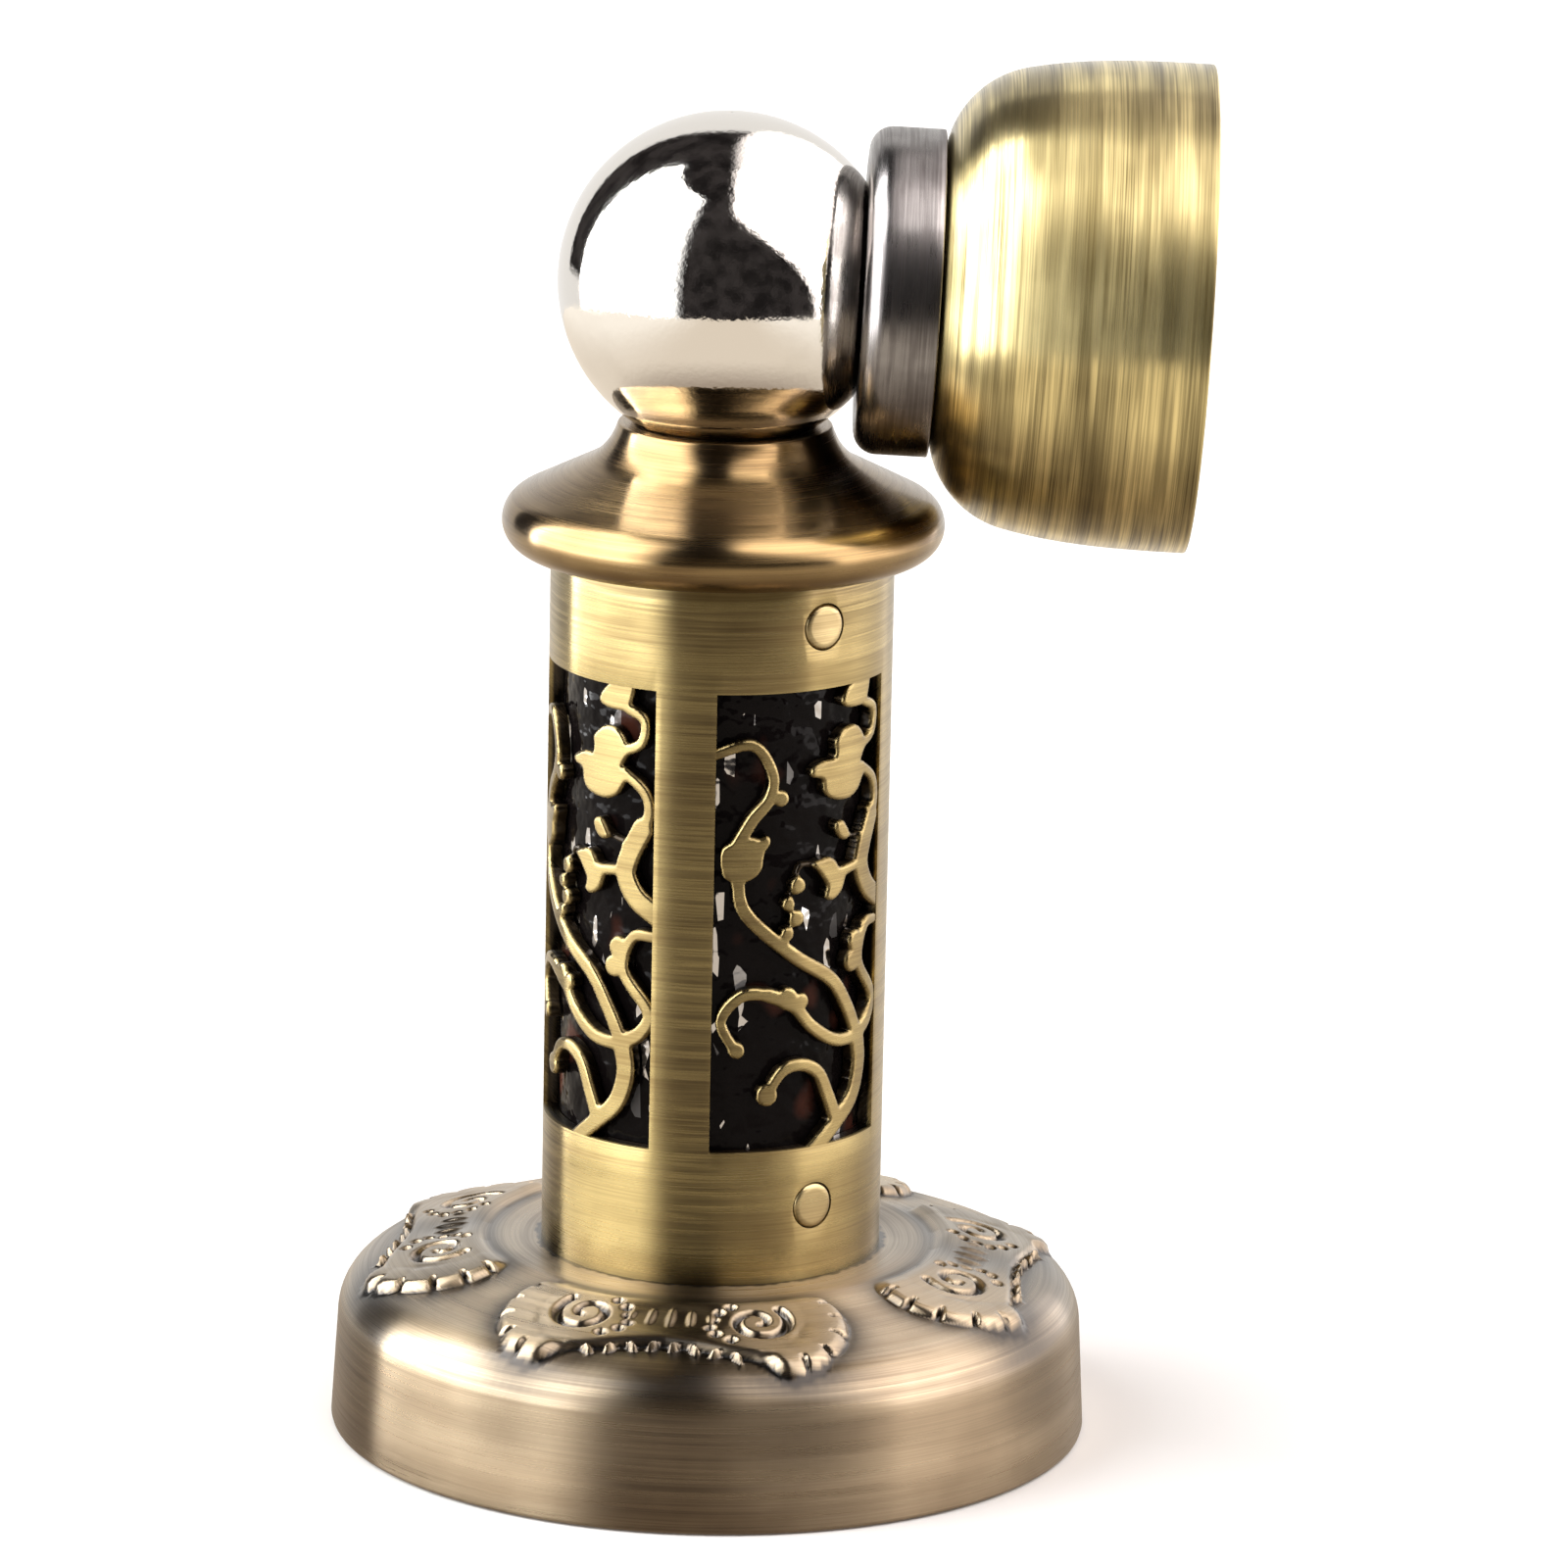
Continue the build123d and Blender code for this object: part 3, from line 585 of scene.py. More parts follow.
def rivetCutter(s, azimuth, level):
    bpy.ops.mesh.primitive_cylinder_add(vertices=s["around"], radius=(s["radius"] + s["gap"]) * mm,
                                        depth=s["cut"] * mm, location=onSleeve(azimuth, level, columnShape["radius"]))
    cutter = bpy.context.object
    cutter.rotation_mode = "QUATERNION"
    cutter.rotation_quaternion = onSleeve(azimuth, 0, 1).to_track_quat("Z", "Y")
    return cutter


def settle(piece):
    # modifiers become plain mesh
    graph = bpy.context.evaluated_depsgraph_get()
    mesh = bpy.data.meshes.new_from_object(piece.evaluated_get(graph))
    piece.modifiers.clear()
    piece.data = mesh


sleeve = newPiece("sleeveTube", *sleeveTube(columnShape), "post", "antique_brass", "column_sleeve")
thick = sleeve.modifiers.new("wall", "SOLIDIFY")
thick.thickness = columnShape["wall"] * mm
thick.offset = -1.0
cutters = [rivetCutter(rivetShape, a, z) for a in rivetShape["azimuths"] for z in rivetShape["levels"]]
for cutter in cutters:
    hole = sleeve.modifiers.new("rivetHole", "BOOLEAN")
    hole.operation = "DIFFERENCE"
    hole.object = cutter
soft = sleeve.modifiers.new("edges", "BEVEL")
soft.width = columnShape["edge"] * mm
soft.segments = columnShape["edgeSteps"]
soft.limit_method = "ANGLE"
soft.angle_limit = math.radians(columnShape["edgeFrom"])
settle(sleeve)
for cutter in cutters:
    bpy.data.objects.remove(cutter)
sleeve.data.polygons.foreach_set("use_smooth", [True] * len(sleeve.data.polygons))
sleeve.data.set_sharp_from_angle(angle=math.radians(columnShape["sharpFrom"]))
paint(sleeve, sleeveBrass)


def rivetHeads(s):
    # round heads ground to the sleeve's own curve, on short shanks
    verts, faces = [], []
    rings = [0.0, 0.35, 0.7, 1.0 - s["edge"] / s["radius"], 1.0 - 0.5 * s["edge"] / s["radius"], 1.0]
    drops = [0, 0, 0, 0, 0.25 * s["edge"], s["edge"]]
    count, rows = s["around"], len(rings)
    face = columnShape["radius"] + s["proud"]
    for azimuth in s["azimuths"]:
        for level in s["levels"]:
            first = len(verts)
            for ring, drop in zip(rings[1:], drops[1:]):
                for k in range(count):
                    a = 2 * math.pi * k / count
                    across, upward = s["radius"] * ring * math.cos(a), s["radius"] * ring * math.sin(a)
                    turn = math.degrees(across / columnShape["radius"])
                    verts.append(onSleeve(azimuth + turn, level + upward, face - drop))
            # the shank's flat end
            outward = onSleeve(azimuth, 0, 1).normalized()
            for k in range(count):
                outer = verts[first + (rows - 2) * count + k]
                verts.append(outer - outward * (outer.dot(outward) - (face - s["length"]) * mm))
            top = len(verts)
            verts.append(onSleeve(azimuth, level, face))
            for j in range(rows - 1):
                for k in range(count):
                    n = (k + 1) % count
                    a, b = first + j * count, first + (j + 1) * count
                    faces.append((a + k, b + k, b + n, a + n))
            faces += [(top, first + k, first + (k + 1) % count) for k in range(count)]
            last = first + (rows - 1) * count
            faces.append(tuple(last + k for k in reversed(range(count))))
    return verts, faces


rivets = newPiece("rivetHeads", *rivetHeads(rivetShape), "post", "antique_brass", "sleeve_rivets")
paint(rivets, rivetBrass)

# vine: places in hundredths of the panel's half width and of the window's height, widths in millimetres
vineShape = {
    "step": 0.125, "margin": 0.35, "tuck": 0.3, "blend": 0.16, "round": 0.17, "front": 11.17, "back": 10.3,
    "threadDrop": 0.4, "threadEdge": 0.15, "stemSteps": 7, "leafSteps": 6, "sharpFrom": 60,
    "stems": [
        (1.5, 1.1, [(68, 22.2), (72, 16), (62, 9.2), (38, 4.2), (6, -1.3)]),
        (1.1, 0.7, [(38, 4.6), (26, 10.5), (13, 16), (-7, 18.3), (-28, 17.3), (-44, 12.4)]),
        (1.1, 0.9, [(68, 22.2), (50, 29.4), (26, 36.3), (-18, 42.5), (-68, 52.3), (-78, 60.8)]),
        (0.9, 0.7, [(-78, 67.3), (-63, 72.9), (-47, 77.1), (-44, 82.7), (-65, 88.9), (-106, 86.6)]),
        (0.9, 0.9, [(65, 21.9), (34, 22.5), (4, 26.5), (-18, 31.7), (-44, 34.3)]),
        (0.9, 0.7, [(-18, 31.7), (-44, 34.3), (-71, 34.3), (-91, 29.1), (-77, 22.5)]),
        (1.1, 0.7, [(68, 22.5), (88, 25.2), (96, 30.1), (68, 38.2), (78, 45.8), (106, 46.4)]),
        (1.55, 1.55, [(87, 69.6), (74, 64.1), (69, 59.5), (81, 54.6), (103, 51.3)]),
        (0.7, 0.7, [(69, 60.1), (56, 59.8), (35, 59.2)]),
        (0.7, 0.9, [(65, 81.4), (88, 77.8), (94, 73.5), (87, 69.3)]),
        (0.7, 0.7, [(68, 95.4), (87, 93.1), (84, 88.2), (65, 85.9)]),
    ],
    "threads": [
        (0.36, [(18, 61.1), (-9, 61.8), (-16, 57.8), (-24, 53.9), (-19, 50.3), (-28, 45.1)]),
        (0.36, [(35, 68), (56, 66.3), (77, 66)]),
    ],
    "leaves": [
        [(-94, 66), (-87, 67.5), (-74, 68.2), (-63, 69), (-57, 68.6), (-48, 69.2), (-45, 67.7), (-51, 65.4),
         (-53, 62.3), (-62, 60), (-76, 59.1), (-89, 60.1), (-94, 62.5)],
        [(3, 61.9), (18, 63.1), (28, 62.3), (36, 60.3), (51, 60.3), (44, 58.3), (38, 55.2), (26, 53.5), (17, 54.3),
         (19, 56.7), (11, 59.3)],
        [(29, 70.1), (37, 70.6), (43, 69.3), (48, 67.2), (42, 66.1), (34, 66.8), (29, 68.4)],
        [(40, 90.6), (55, 90.7), (66, 88.6), (70, 85.7), (63, 82.4), (71, 81), (65, 78.4), (57, 76.1), (42, 74.9),
         (23, 75.6), (13, 77.3), (10, 80.2), (-2, 81.1), (-2, 82.8), (12, 84.2), (25, 84.4), (27, 86.2), (27, 88.3)],
        [(34, 96.6), (40, 98.9), (56, 101.5), (76, 101.5), (73, 96.6), (66, 94.8), (51, 94.6), (38, 95.2)],
    ],
    "knobs": [
        (0.75, -44, 12.4), (0.55, -35, 77.1), (0.55, -75, 22.5), (0.55, -9, 32.4),
        (0.75, -24, 33.3), (0.75, 57, 38.9), (0.75, 62, 43.1), (0.55, -15, 57.8), (0.55, -16, 50.7),
        (0.45, -25, 53.9), (0.45, -26, 47.4),
    ],
}


def vineField(s):
    half = math.radians(panelAngle / 2) * columnShape["radius"]
    xs = np.arange(-half - s["margin"], half + s["margin"], s["step"])
    ys = np.arange(-s["margin"], windowHeight + s["margin"], s["step"])
    x, y = np.meshgrid(xs, ys, indexing="ij")

    def place(p):
        return (p[0] / 100 * half, p[1] / 100 * windowHeight)

    def drawn(places, steps, closed=False):
        return smoothLine([place(p) for p in places], steps, closed)

    field = np.full(x.shape, farOff)
    for root, tip, places in s["stems"]:
        line = drawn(places, s["stemSteps"])
        field = softMin(field, strokeField(x, y, line, root / 2, tip / 2), s["blend"])
    for places in s["leaves"]:
        field = softMin(field, outlineField(x, y, drawn(places, s["leafSteps"], True)), s["blend"])
    for radius, across, up in s["knobs"]:
        px, py = place((across, up))
        field = softMin(field, np.hypot(x - px, y - py) - radius, s["blend"])
    # thin threads that tie the berries lie below the face
    sunk = np.clip(field / s["threadEdge"], 0, 1) * s["threadDrop"]
    for width, places in s["threads"]:
        line = drawn(places, s["stemSteps"])
        field = softMin(field, strokeField(x, y, line, width / 2, width / 2), s["blend"])
    # the vine ends just inside the ribs and bands
    edge = np.maximum(-s["tuck"] - y, y - windowHeight - s["tuck"])
    edge = np.maximum(np.abs(x) - half - s["tuck"], edge)
    return xs, ys, np.maximum(field, edge), sunk


def fieldFaces(xs, ys, field, sunk):
    # flat faces of the part of the grid where the field is negative, cut cleanly at its edge
    flat, depth, low, index, faces, edges = [], [], [], {}, [], []

    def point(key, place, away, drop):
        if key not in index:
            index[key] = len(flat)
            flat.append(place)
            depth.append(away)
            low.append(drop)
        return index[key]

    def corner(i, j):
        return point(("c", i, j), (xs[i], ys[j]), field[i, j], sunk[i, j])

    def crossing(a, b):
        t = min(0.92, max(0.08, field[a] / (field[a] - field[b])))  # no slivers
        place = (xs[a[0]] + t * (xs[b[0]] - xs[a[0]]), ys[a[1]] + t * (ys[b[1]] - ys[a[1]]))
        return point(("e", *min(a, b), *max(a, b)), place, 0.0, sunk[a] + t * (sunk[b] - sunk[a]))

    inside = field < 0
    live = inside[:-1, :-1] | inside[1:, :-1] | inside[:-1, 1:] | inside[1:, 1:]
    for i, j in np.argwhere(live):
        ring = [(int(i), int(j)), (int(i) + 1, int(j)), (int(i) + 1, int(j) + 1), (int(i), int(j) + 1)]
        face, marks = [], []
        for a, b in zip(ring, ring[1:] + ring[:1]):
            if inside[a]:
                face.append(corner(*a))
                marks.append(False)
            if inside[a] != inside[b]:
                face.append(crossing(a, b))
                marks.append(True)
        if len(face) < 3:
            continue
        faces.append(tuple(face))
        for k in range(len(face)):
            n = (k + 1) % len(face)
            if marks[k] and marks[n]:
                edges.append((face[k], face[n]))
    return np.array(flat), np.array(depth), np.array(low), faces, edges


def vinePanel(s, flat, depth, low, faces, edges, panel):
    azimuth = columnShape["ribAzimuth"] + 180 / columnShape["panels"] + 360 / columnShape["panels"] * panel
    inward = np.clip(-depth, 0, s["round"])
    drop = s["round"] - np.sqrt(np.maximum(s["round"] ** 2 - (s["round"] - inward) ** 2, 0)) + low
    angles = azimuth + np.degrees(flat[:, 0] / columnShape["radius"])
    front = [onSleeve(a, sill + h, s["front"] - d) for a, h, d in zip(angles, flat[:, 1], drop)]
    back = [onSleeve(a, sill + h, s["back"]) for a, h in zip(angles, flat[:, 1])]
    count = len(front)
    allFaces = list(faces) + [tuple(count + v for v in reversed(f)) for f in faces]
    allFaces += [(b, a, count + a, count + b) for a, b in edges]
    return front + back, allFaces


vineFlat = fieldFaces(*vineField(vineShape))
vinePieces = []
for panel in range(columnShape["panels"]):
    vine = newPiece("vinePanel%d" % (panel + 1), *vinePanel(vineShape, *vineFlat, panel), "post", "antique_brass")
    vine.data.set_sharp_from_angle(angle=math.radians(vineShape["sharpFrom"]))
    paint(vine, sleeveBrass)
    vinePieces.append(vine)
with bpy.context.temp_override(active_object=sleeve, selected_editable_objects=[sleeve] + vinePieces):
    bpy.ops.object.join()
print("column made:", len(sleeve.data.polygons), "faces with the vine")

# base: one cast shape with four raised leaf crests

baseShape = {
    "bottom": 25.0, "shoulder": 24.45, "shoulderLevel": 9.9, "shoulderRound": 3.5, "top": 12.4, "ring": 14.2,
    "recess": 21.8, "recessLevel": 6.4, "web": 9.0, "hole": 2.55, "spigot": 10.15, "spigotTop": 20.0, "seam": 0.01,
    "rim": [(0.25, 0.0), (0.06, 0.08), (0.0, 0.3)], "wallStep": 2.5, "shoulderSteps": 12, "coneStep": 0.125,
    "footRings": (13.6, 13.0, 12.5, 12.1, 11.9, 11.75, 11.6, 11.45, 11.3, 11.0),
    "columns": 900, "crests": 4, "crestAzimuth": -98.0, "relief": 0.65, "sharpFrom": 60,
}


def shoulderRound(a, b, c, radius, steps):
    # points of a round between two straight runs that meet at b
    a, b, c = (np.array(p, float) for p in (a, b, c))
    u, v = (a - b) / np.linalg.norm(a - b), (c - b) / np.linalg.norm(c - b)
    half = math.acos(float(u @ v)) / 2
    middle = b + (u + v) / np.linalg.norm(u + v) * radius / math.sin(half)
    start, end = b + u * radius / math.tan(half), b + v * radius / math.tan(half)
    a0, a1 = (math.atan2(*(p - middle)[::-1]) for p in (start, end))
    return [tuple(middle + radius * np.array([math.cos(t), math.sin(t)])) for t in np.linspace(a0, a1, steps + 1)]


# one half of a crest: radius and degrees from its middle, depths and heights as shares of the relief
crestShape = {
    "body": [(14.7, 0), (14.7, 15), (14.7, 31), (18, 30), (22.2, 21), (21.9, 16.5), (21.2, 11), (20.6, 5.5),
             (20.35, 0)],
    "lobes": [(1.2, 15.7, 32.0), (1.35, 17.1, 33.0), (1.45, 18.6, 32.0), (1.45, 20.2, 29.2), (1.35, 21.5, 25.2),
              (1.0, 22.2, 21.5)],
    "fill": 1.5, "edge": 0.7, "plate": 0.92, "swell": 0.08,
    "notch": (2.2, -0.55, 0.3, 0.02), "notchEdge": 0.16, "notchDepth": 0.85,
    "scroll": (17.9, 18.0), "scrollSize": (2.15, 0.4), "turns": 1.3, "firstTurn": 1.0, "scrollSteps": 48,
    "groove": (0.32, 0.17), "grooveSink": 0.35, "grooveEdge": 0.3, "grooveDepth": 0.85,
    "pits": [(19.3, 9.4), (18.5, 8.3), (17.6, 8.9), (16.7, 10.3), (20.0, 12.2), (16.1, 13.0)], "pit": 0.42,
    "pitDepth": 0.8, "pocket": (4.4, 2.5, 17.2), "pocketSlope": 1.4, "pocketDepth": 0.4,
    "petals": [(0.0, 15.6, 19.2), (4.3, 15.9, 18.9), (8.4, 16.4, 18.4)], "petalWidth": 0.36, "petalHeight": 0.85,
    "beads": [(20.5, 1.9), (20.75, 5.6), (21.15, 9.3), (21.6, 13.0)], "bead": (0.44, 0.2), "beadSlant": 35,
    "beadHeight": 0.95, "fade": (14.3, 1.7),
}


def crestHeight(s, radius, angle):
    # raised height of one crest
    x = radius * np.sin(np.radians(angle))
    y = radius * np.cos(np.radians(angle))

    def at(r, a):
        return np.array((r * math.sin(math.radians(a)), r * math.cos(math.radians(a))))

    def grain(r, a, way, length, width):
        # small pillow that points along way
        p = at(r, a)
        along = ((x - p[0]) * way[0] + (y - p[1]) * way[1]) / length
        across = ((x - p[0]) * way[1] - (y - p[1]) * way[0]) / width
        return np.sqrt(np.clip(1 - along ** 2 - across ** 2, 0, 1))

    body = s["body"] + [(r, -a) for r, a in s["body"][-2:0:-1]]
    field = outlineField(x, y, np.array([at(r, a) for r, a in body]))
    dome = np.zeros(x.shape)
    cuts = np.full(x.shape, farOff)
    for side in (-1, 1):
        eye = at(s["scroll"][0], side * s["scroll"][1])
        lobes = [(size, at(r, side * a)) for size, r, a in s["lobes"]]
        for size, p in lobes:
            away = np.hypot(x - p[0], y - p[1])
            field = softMin(field, away - size, s["fill"])
            dome = np.maximum(dome, np.clip(1 - (away / size) ** 2, 0, 1))
        # cuts between the lobes
        outward, inward, wide, narrow = s["notch"]
        for (_, p), (_, q) in zip(lobes, lobes[1:]):
            middle = (p + q) / 2
            way = (middle - eye) / np.linalg.norm(middle - eye)
            line = np.array([middle + way * outward, middle - way * inward])
            cuts = np.minimum(cuts, strokeField(x, y, line, wide, narrow))
    rise = np.clip(-field / s["edge"], 0, 1)
    height = (1 - (1 - rise) ** 2) * (s["plate"] + s["swell"] * dome)
    height = height * (1 - s["notchDepth"] * np.clip(1 - cuts / s["notchEdge"], 0, 1))
    for side in (-1, 1):
        eye = at(s["scroll"][0], side * s["scroll"][1])
        # spiral groove that winds into the eye of the scroll
        way = np.linspace(0, 1, s["scrollSteps"])
        wide, narrow = s["scrollSize"]
        reach = wide + (narrow - wide) * way
        turn = 2 * math.pi * s["turns"] * way - s["firstTurn"]
        spiral = np.stack([eye[0] + side * reach * np.cos(turn), eye[1] + reach * np.sin(turn)], 1)
        groove = strokeField(x, y, spiral, *s["groove"])
        cut = np.clip(s["grooveSink"] - groove / s["grooveEdge"], 0, 1)
        height = height * (1 - s["grooveDepth"] * cut)
        # small pits between the scroll and the middle
        for r, a in s["pits"]:
            p = at(r, side * a)
            near = np.clip(1 - ((x - p[0]) ** 2 + (y - p[1]) ** 2) / s["pit"] ** 2, 0, 1)
            height = height * (1 - s["pitDepth"] * near)
    wide, tall, level = s["pocket"]
    pocket = np.clip((1 - np.hypot(x / wide, (y - level) / tall)) * s["pocketSlope"], 0, 1)
    height = height * (1 - s["pocketDepth"] * pocket * pocket * (3 - 2 * pocket))
    for side in (-1, 1):
        for a, low, high in s["petals"]:
            petal = grain((low + high) / 2, side * a, at(1, side * a), (high - low) / 2, s["petalWidth"])
            height = np.maximum(height, s["petalHeight"] * petal)
        for k, (r, a) in enumerate(s["beads"]):
            # small grains set slantwise, like a twisted cord
            slant = math.radians(s["beadSlant"] if k % 2 else -s["beadSlant"])
            bead = grain(r, side * a, (math.cos(slant), math.sin(slant)), *s["bead"])
            height = np.maximum(height, s["beadHeight"] * bead)
    # towards the column the crest runs out into the cone
    start, run = s["fade"]
    fade = np.clip((radius - start) / run, 0, 1)
    return height * fade * fade * (3 - 2 * fade)


def spread(field, passes, reach):
    # the field blurred round the base and along its section
    for _ in range(passes):
        field = (np.roll(field, reach, 0) + np.roll(field, -reach, 0) + field * 2) / 4
        field[:, reach:-reach] = (field[:, :-2 * reach] + field[:, 2 * reach:] + field[:, reach:-reach] * 2) / 4
    return field


# patina and wear on the base, together with painted shade and painted dark reflection
patinaAndShade = {
    "nearPasses": 18, "nearGain": 5.5, "haloPasses": 15, "haloReach": 4, "haloGain": 3.1, "haloMost": 0.84,
    "middle": 0.62, "darkReflectionWidth": 2.7, "wornFrom": 0.55, "wornMost": 0.45,
    "line": 11.62, "lineWaves": [(0.09, 23, 1.3, 7), (0.07, 61, 2.0, 11)], "lineEdge": 0.12, "lineMost": 0.95,
}


# coat holds the base's patina and wear, and its painted shade and painted reflection
def baseCasting(s, coat):
    wall = [(s["bottom"] - inset, level) for inset, level in s["rim"]]
    shoulder = shoulderRound(wall[-1], (s["shoulder"], s["shoulderLevel"]), (s["ring"], s["top"]),
                             s["shoulderRound"], s["shoulderSteps"])
    cone = densify([shoulder[-1], (s["ring"], s["top"])], s["coneStep"])
    outer = wall + densify([wall[-1], shoulder[0]], s["wallStep"])[1:] + shoulder[1:] + cone[1:]
    first, last = len(wall), len(outer)
    foot = [(r, s["top"]) for r in s["footRings"]]
    inner = foot + [(s["spigot"], s["top"] + s["seam"]), (s["spigot"], s["spigotTop"]), (s["hole"], s["spigotTop"]),
                    (s["hole"], s["web"]), (s["ring"], s["web"]), (s["recess"], s["recessLevel"]), (s["recess"], 0.0)]
    section = np.array(outer + inner)
    count = s["columns"]
    turn = np.arange(count) * 360 / count
    radius = np.repeat(section[:, 0][None, :], count, 0)
    level = np.repeat(section[:, 1][None, :], count, 0)
    height = np.zeros(radius.shape)
    local = (turn - s["crestAzimuth"] + 180 / s["crests"]) % (360 / s["crests"]) - 180 / s["crests"]
    work = slice(first, last)
    height[:, work] = crestHeight(crestShape, radius[:, work], np.repeat(local[:, None], last - first, 1))
    # the surface's own normal carries the relief
    step = np.gradient(section[:last], axis=0)
    step /= np.linalg.norm(step, axis=1)[:, None]
    out = np.stack([step[:, 1], -step[:, 0]], 1)
    lift = height[:, :last] * s["relief"]
    radius[:, :last] += lift * out[None, :, 0]
    level[:, :last] += lift * out[None, :, 1]
    # how far a place lies below its surroundings
    near = spread(height, coat["nearPasses"], 1)
    recess = np.clip((near - height) * coat["nearGain"], 0, 1)
    # patina that fades away round the crests, made deeper as a painted dark reflection
    halo = spread(height, coat["haloPasses"], coat["haloReach"])
    recess = np.maximum(recess, np.clip((halo - height) * coat["haloGain"], 0, coat["haloMost"]))
    # the middle of each crest is darkened as a painted dark reflection
    across = radius * np.sin(np.radians(local))[:, None]
    paintedDarkReflection = coat["middle"] * np.clip(height * 2, 0, 1) * np.exp(-(across / coat["darkReflectionWidth"]) ** 2)
    recess = np.maximum(recess, paintedDarkReflection)
    raised = np.clip((height - coat["wornFrom"]) * 2, 0, coat["wornMost"])
    # painted shade: ragged dark line in the gap where the column stands
    a = np.radians(turn)[:, None]
    ragged = coat["line"]
    for size, often, sway, slow in coat["lineWaves"]:
        ragged = ragged + size * np.sin(often * a + sway * np.sin(slow * a))
    line = slice(last, last + len(foot))
    recess[:, line] = np.clip((ragged - section[None, line, 0]) / coat["lineEdge"], 0, coat["lineMost"])
    verts = np.stack([radius * np.cos(a), radius * np.sin(a), level], -1).reshape(-1, 3) * mm
    return verts, ringFaces(count, len(section)), recess.reshape(-1), raised.reshape(-1)


baseVerts, baseFaces, basePatinaAndShade, baseRaised = baseCasting(baseShape, patinaAndShade)
base = newPiece("baseCasting", baseVerts, baseFaces, "post", "antique_brass", "base_flange")
for layerName, values in (("recess", basePatinaAndShade), ("raised", baseRaised)):
    layer = base.data.attributes.new(layerName, "FLOAT", "POINT")
    layer.data.foreach_set("value", values.astype(np.float32))
base.data.set_sharp_from_angle(angle=math.radians(baseShape["sharpFrom"]))
paint(base, baseBrass)
print("base cast:", len(baseFaces), "faces")

# floor and studio light

studio = {
    "floorSize": 4.0, "floorDrop": 0.0001, "floorColour": (0.86, 0.86, 0.86), "floorGrain": 30.0, "floorRough": 0.9,
    "floorShine": 0.1, "table": (0.28, 0.30), "underGlow": (0.40, 0.32, 0.25), "under": (0.03, 0.09),
    "tableGlow": (0.95, 0.84, 0.70), "sideGlow": (1.3, 1.22, 1.1), "side": (0.05, 0.2),
    "dark": (0.031, 0.027, 0.0265), "darkLevels": (0.45, 1.6), "darkScale": 5.0, "soft": 0.54,
    # places in degrees, from the camera's side to the right, and up
    "backdrop": 1.0, "backdropColour": (1, 0.98, 0.95), "backdropSide": (132, 137),
    "backdropTop": (48.0, 31.0, 2.5, 23.0), "lowSide": (-150, -104, 3), "lowTop": (-7, -3),
    "leftBox": 8.5, "leftBack": (-119, -116), "leftFront": (-54, -29),
    "leftTall": (-40, 64, 2.5), "strip": 2.0, "stripSide": (-114, -108),
    "rightBox": 4.8, "rightColour": (1, 0.93, 0.9), "rightFront": (59.5, -0.41, -0.0101), "rightBack": (147.0, 0.46),
    "rightFall": (95, 130, 1.0, 0.45),
}


def floorMaterial(s):
    material, tree, shader = newMaterial("paleFloor")
    coords = objectCoords(tree)
    grain = ramp(tree, noise(tree, coords, s["floorGrain"]), 0.3, 0.7, 0.0, 0.02)
    colour = blendColour(tree, grain, rgb(s["floorColour"]), rgb(s["floorColour"], 0.98))
    plug(tree, shader, {"Base Color": colour, "Roughness": s["floorRough"], "Specular IOR Level": s["floorShine"]})
    # past the table's edge mirrors see the room and not the floor
    x, y, _ = parts(tree, coords)
    away = axisAway(tree, x, y)
    path = tree.nodes.new("ShaderNodeLightPath")
    hidden = times(tree, ramp(tree, away, *s["table"]), path.outputs["Is Glossy Ray"])
    # mirrors see the floor as painted light: a glow, brighter to the sides, with painted shade close round the object
    seen = tree.nodes.new("ShaderNodeEmission")
    aside = ramp(tree, calc(tree, "ABSOLUTE", x), *s["side"])
    glow = blendColour(tree, aside, rgb(s["tableGlow"]), rgb(s["sideGlow"]))
    link(tree, blendColour(tree, ramp(tree, away, *s["under"]), rgb(s["underGlow"]), glow), seen.inputs[0])
    clear = tree.nodes.new("ShaderNodeBsdfTransparent")
    asMirror = blendShader(tree, path.outputs["Is Glossy Ray"], shader, seen)
    out = next(n for n in tree.nodes if n.type == "OUTPUT_MATERIAL")
    link(tree, blendShader(tree, hidden, asMirror, clear).outputs[0], out.inputs[0])
    return material


floorMesh = bpy.data.meshes.new("paleFloor")
half = studio["floorSize"] / 2
floorMesh.from_pydata([(-half, -half, 0), (half, -half, 0), (half, half, 0), (-half, half, 0)], [], [(0, 1, 2, 3)])
floor = bpy.data.objects.new("paleFloor", floorMesh)
bpy.context.scene.collection.objects.link(floor)
floor.location.z = -studio["floorDrop"]
floorMesh.materials.append(floorMaterial(studio))


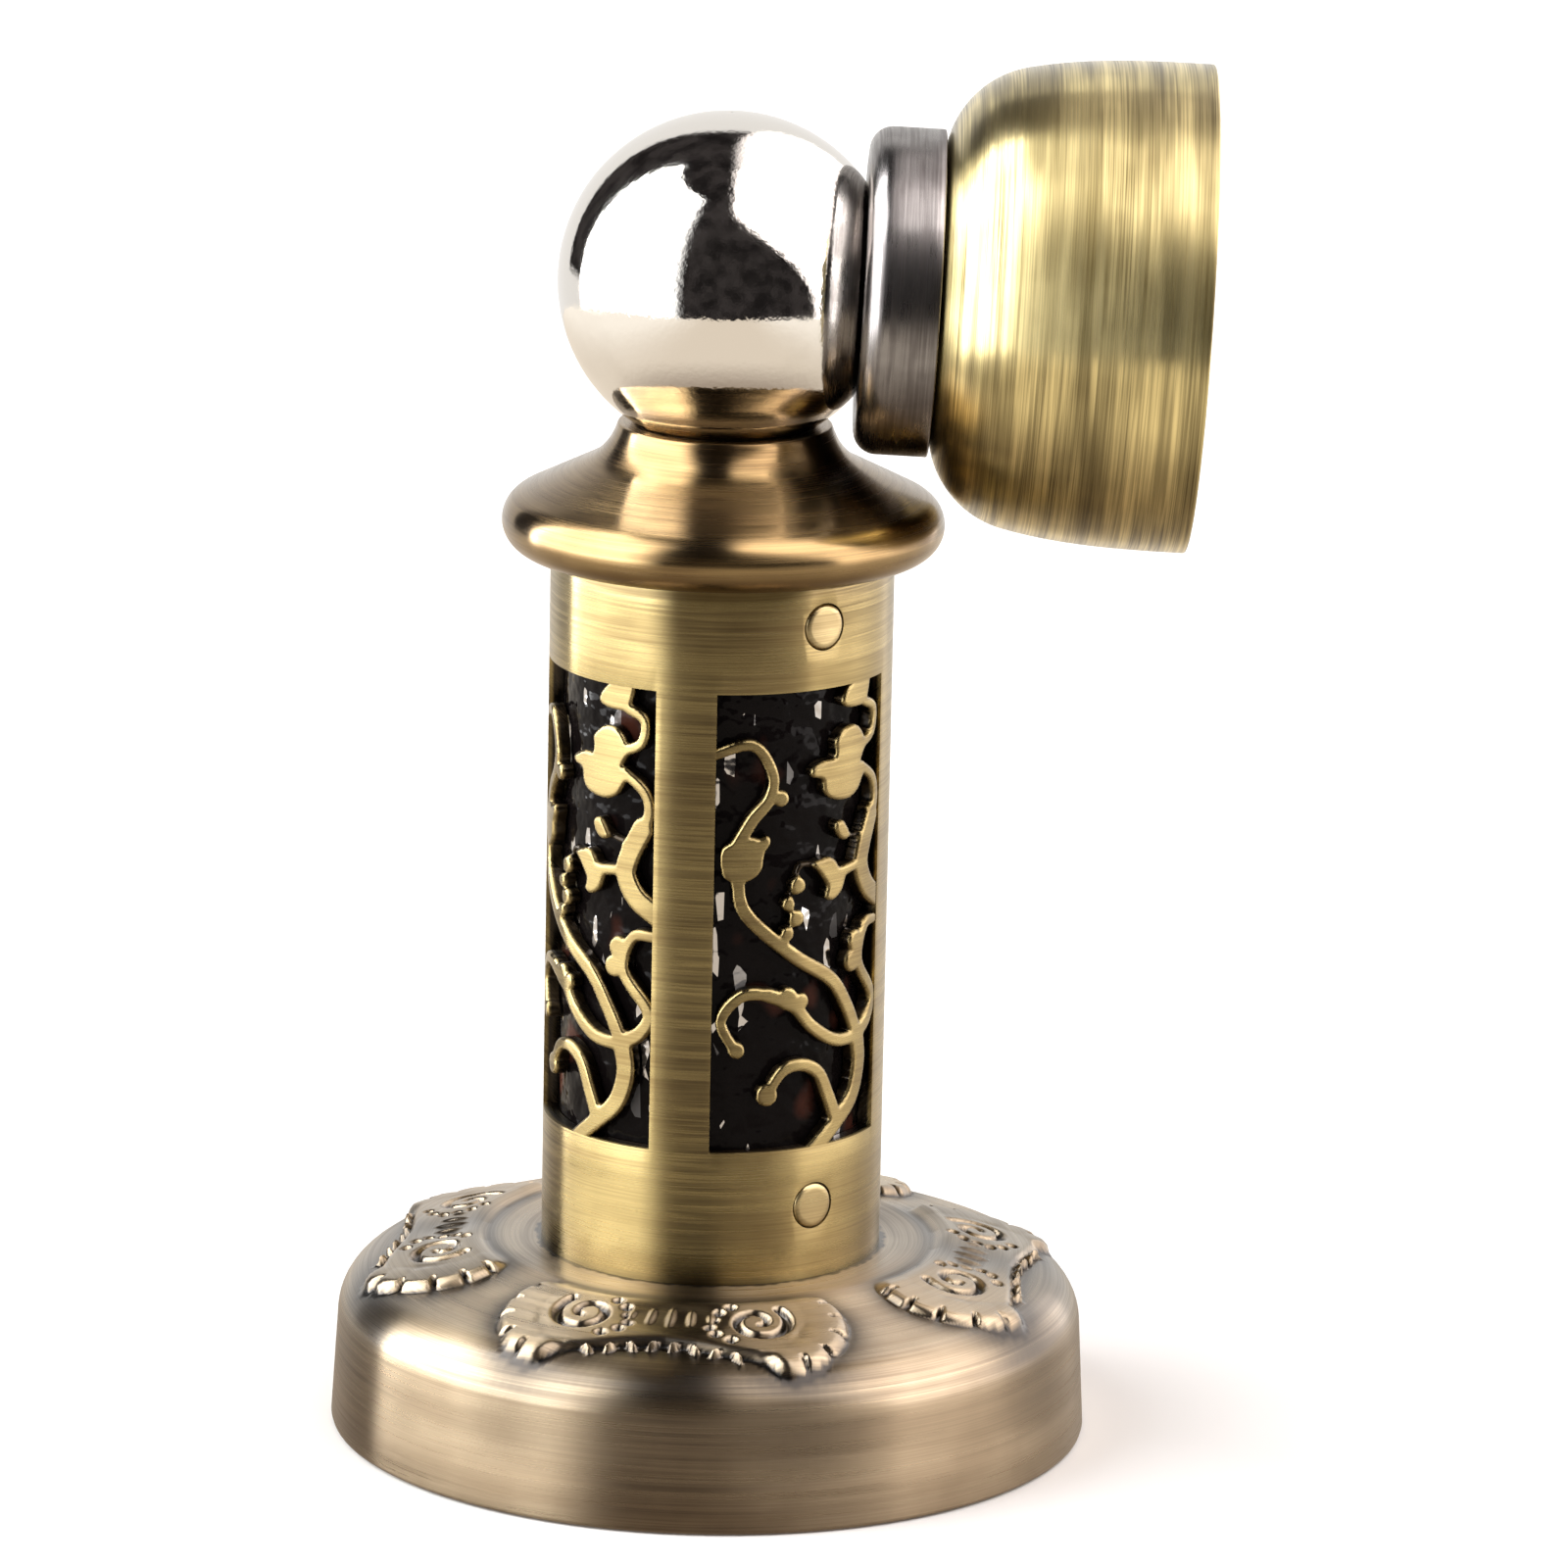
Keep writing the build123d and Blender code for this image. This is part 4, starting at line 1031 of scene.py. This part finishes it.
def studioWorld(s):
    world = bpy.data.worlds.new("softStudio")
    bpy.context.scene.world = world
    world.use_nodes = True
    tree = world.node_tree
    way = tree.nodes.new("ShaderNodeTexCoord").outputs["Generated"]
    x, y, z = parts(tree, way)
    azimuth = calc(tree, "DEGREES", calc(tree, "ARCTAN2", x, times(tree, y, -1.0)))
    height = calc(tree, "DEGREES", calc(tree, "ARCSINE", z))

    def upTo(value, low, high):
        return ramp(tree, value, low, high, 1.0, 0.0)

    def between(value, low, high, edge):
        return times(tree, ramp(tree, value, low - edge, low + edge), upTo(value, high - edge, high + edge))

    def panel(share, level, below, colour=(1, 1, 1)):
        return blendColour(tree, share, below, rgb(colour, level))

    # dark room, unevenly lit
    depths = noise(tree, way, s["darkScale"], 4.0, 0.6)
    shade, bright = (rgb(s["dark"], level) for level in s["darkLevels"])
    colour = blendColour(tree, ramp(tree, depths, 0.35, 0.65), shade, bright)
    # pale backdrop behind, lower towards its sides
    spread = calc(tree, "ABSOLUTE", azimuth)
    top, width, bend, drop = s["backdropTop"]
    aside = calc(tree, "DIVIDE", calc(tree, "SUBTRACT", 180.0, spread), width)
    reach = calc(tree, "MULTIPLY_ADD", calc(tree, "POWER", aside, bend), -drop, top)
    back = times(tree, ramp(tree, spread, *s["backdropSide"]), upTo(calc(tree, "SUBTRACT", height, reach), -3, 3))
    colour = panel(back, s["backdrop"], colour, s["backdropColour"])
    low = times(tree, between(azimuth, *s["lowSide"]), upTo(height, *s["lowTop"]))
    colour = panel(low, s["backdrop"], colour, s["backdropColour"])
    # tall soft box on the left
    inside = times(tree, ramp(tree, azimuth, *s["leftBack"]), upTo(azimuth, *s["leftFront"]))
    left = times(tree, inside, between(height, *s["leftTall"]))
    colour = panel(left, s["leftBox"], colour)
    strip = times(tree, left, upTo(azimuth, *s["stripSide"]))
    colour = panel(strip, s["leftBox"] * s["strip"], colour)
    # large soft box on the right, with a slanting front edge, that hangs over to the middle
    start, lean, bend = s["rightFront"]
    slant = calc(tree, "MULTIPLY_ADD", calc(tree, "MULTIPLY_ADD", height, bend, lean), height, start)
    ahead = calc(tree, "SUBTRACT", azimuth, slant)
    end, lean = s["rightBack"]
    behind = calc(tree, "SUBTRACT", azimuth, calc(tree, "MULTIPLY_ADD", height, lean, end))
    right = times(tree, ramp(tree, ahead, -4, 5), upTo(behind, -3, 3))
    right = times(tree, right, ramp(tree, x, 0.0, 0.16))
    fall = ramp(tree, azimuth, *s["rightFall"])
    colour = panel(times(tree, right, fall), s["rightBox"], colour, s["rightColour"])
    lit = tree.nodes["Background"]
    link(tree, colour, lit.inputs[0])
    path = tree.nodes.new("ShaderNodeLightPath")
    link(tree, ramp(tree, path.outputs["Is Glossy Ray"], 0.0, 1.0, s["soft"], 1.0), lit.inputs[1])
    white = tree.nodes.new("ShaderNodeBackground")
    white.inputs[0].default_value = (1, 1, 1, 1)
    mix = blendShader(tree, path.outputs["Is Camera Ray"], lit, white)
    link(tree, mix.outputs[0], tree.nodes["World Output"].inputs[0])


studioWorld(studio)
bpy.context.scene.view_settings.view_transform = "Standard"
print("studio lit")

# camera

cameraSetup = {"place": (0.0, -0.559988, 0.183864), "yaw": 0.00765296, "pitch": 0.24590609, "roll": 0.02037555,
               "lens": 202.5, "sensor": 36.0}


def setCamera(s):
    cosPitch = math.cos(s["pitch"])
    ahead = Vector((math.sin(s["yaw"]) * cosPitch, math.cos(s["yaw"]) * cosPitch, -math.sin(s["pitch"])))
    right = ahead.cross(Vector((0, 0, 1))).normalized()
    up = right.cross(ahead)
    turned = right * math.cos(s["roll"]) + up * math.sin(s["roll"])
    upright = up * math.cos(s["roll"]) - right * math.sin(s["roll"])
    data = bpy.data.cameras.new("photoCamera")
    data.lens = s["lens"]
    data.sensor_width = s["sensor"]
    data.clip_start, data.clip_end = 0.01, 20.0
    camera = bpy.data.objects.new("photoCamera", data)
    bpy.context.scene.collection.objects.link(camera)
    spin = Matrix((turned, upright, -ahead)).transposed()
    camera.matrix_world = Matrix.Translation(s["place"]) @ spin.to_4x4()
    bpy.context.scene.camera = camera


setCamera(cameraSetup)
print("camera set")
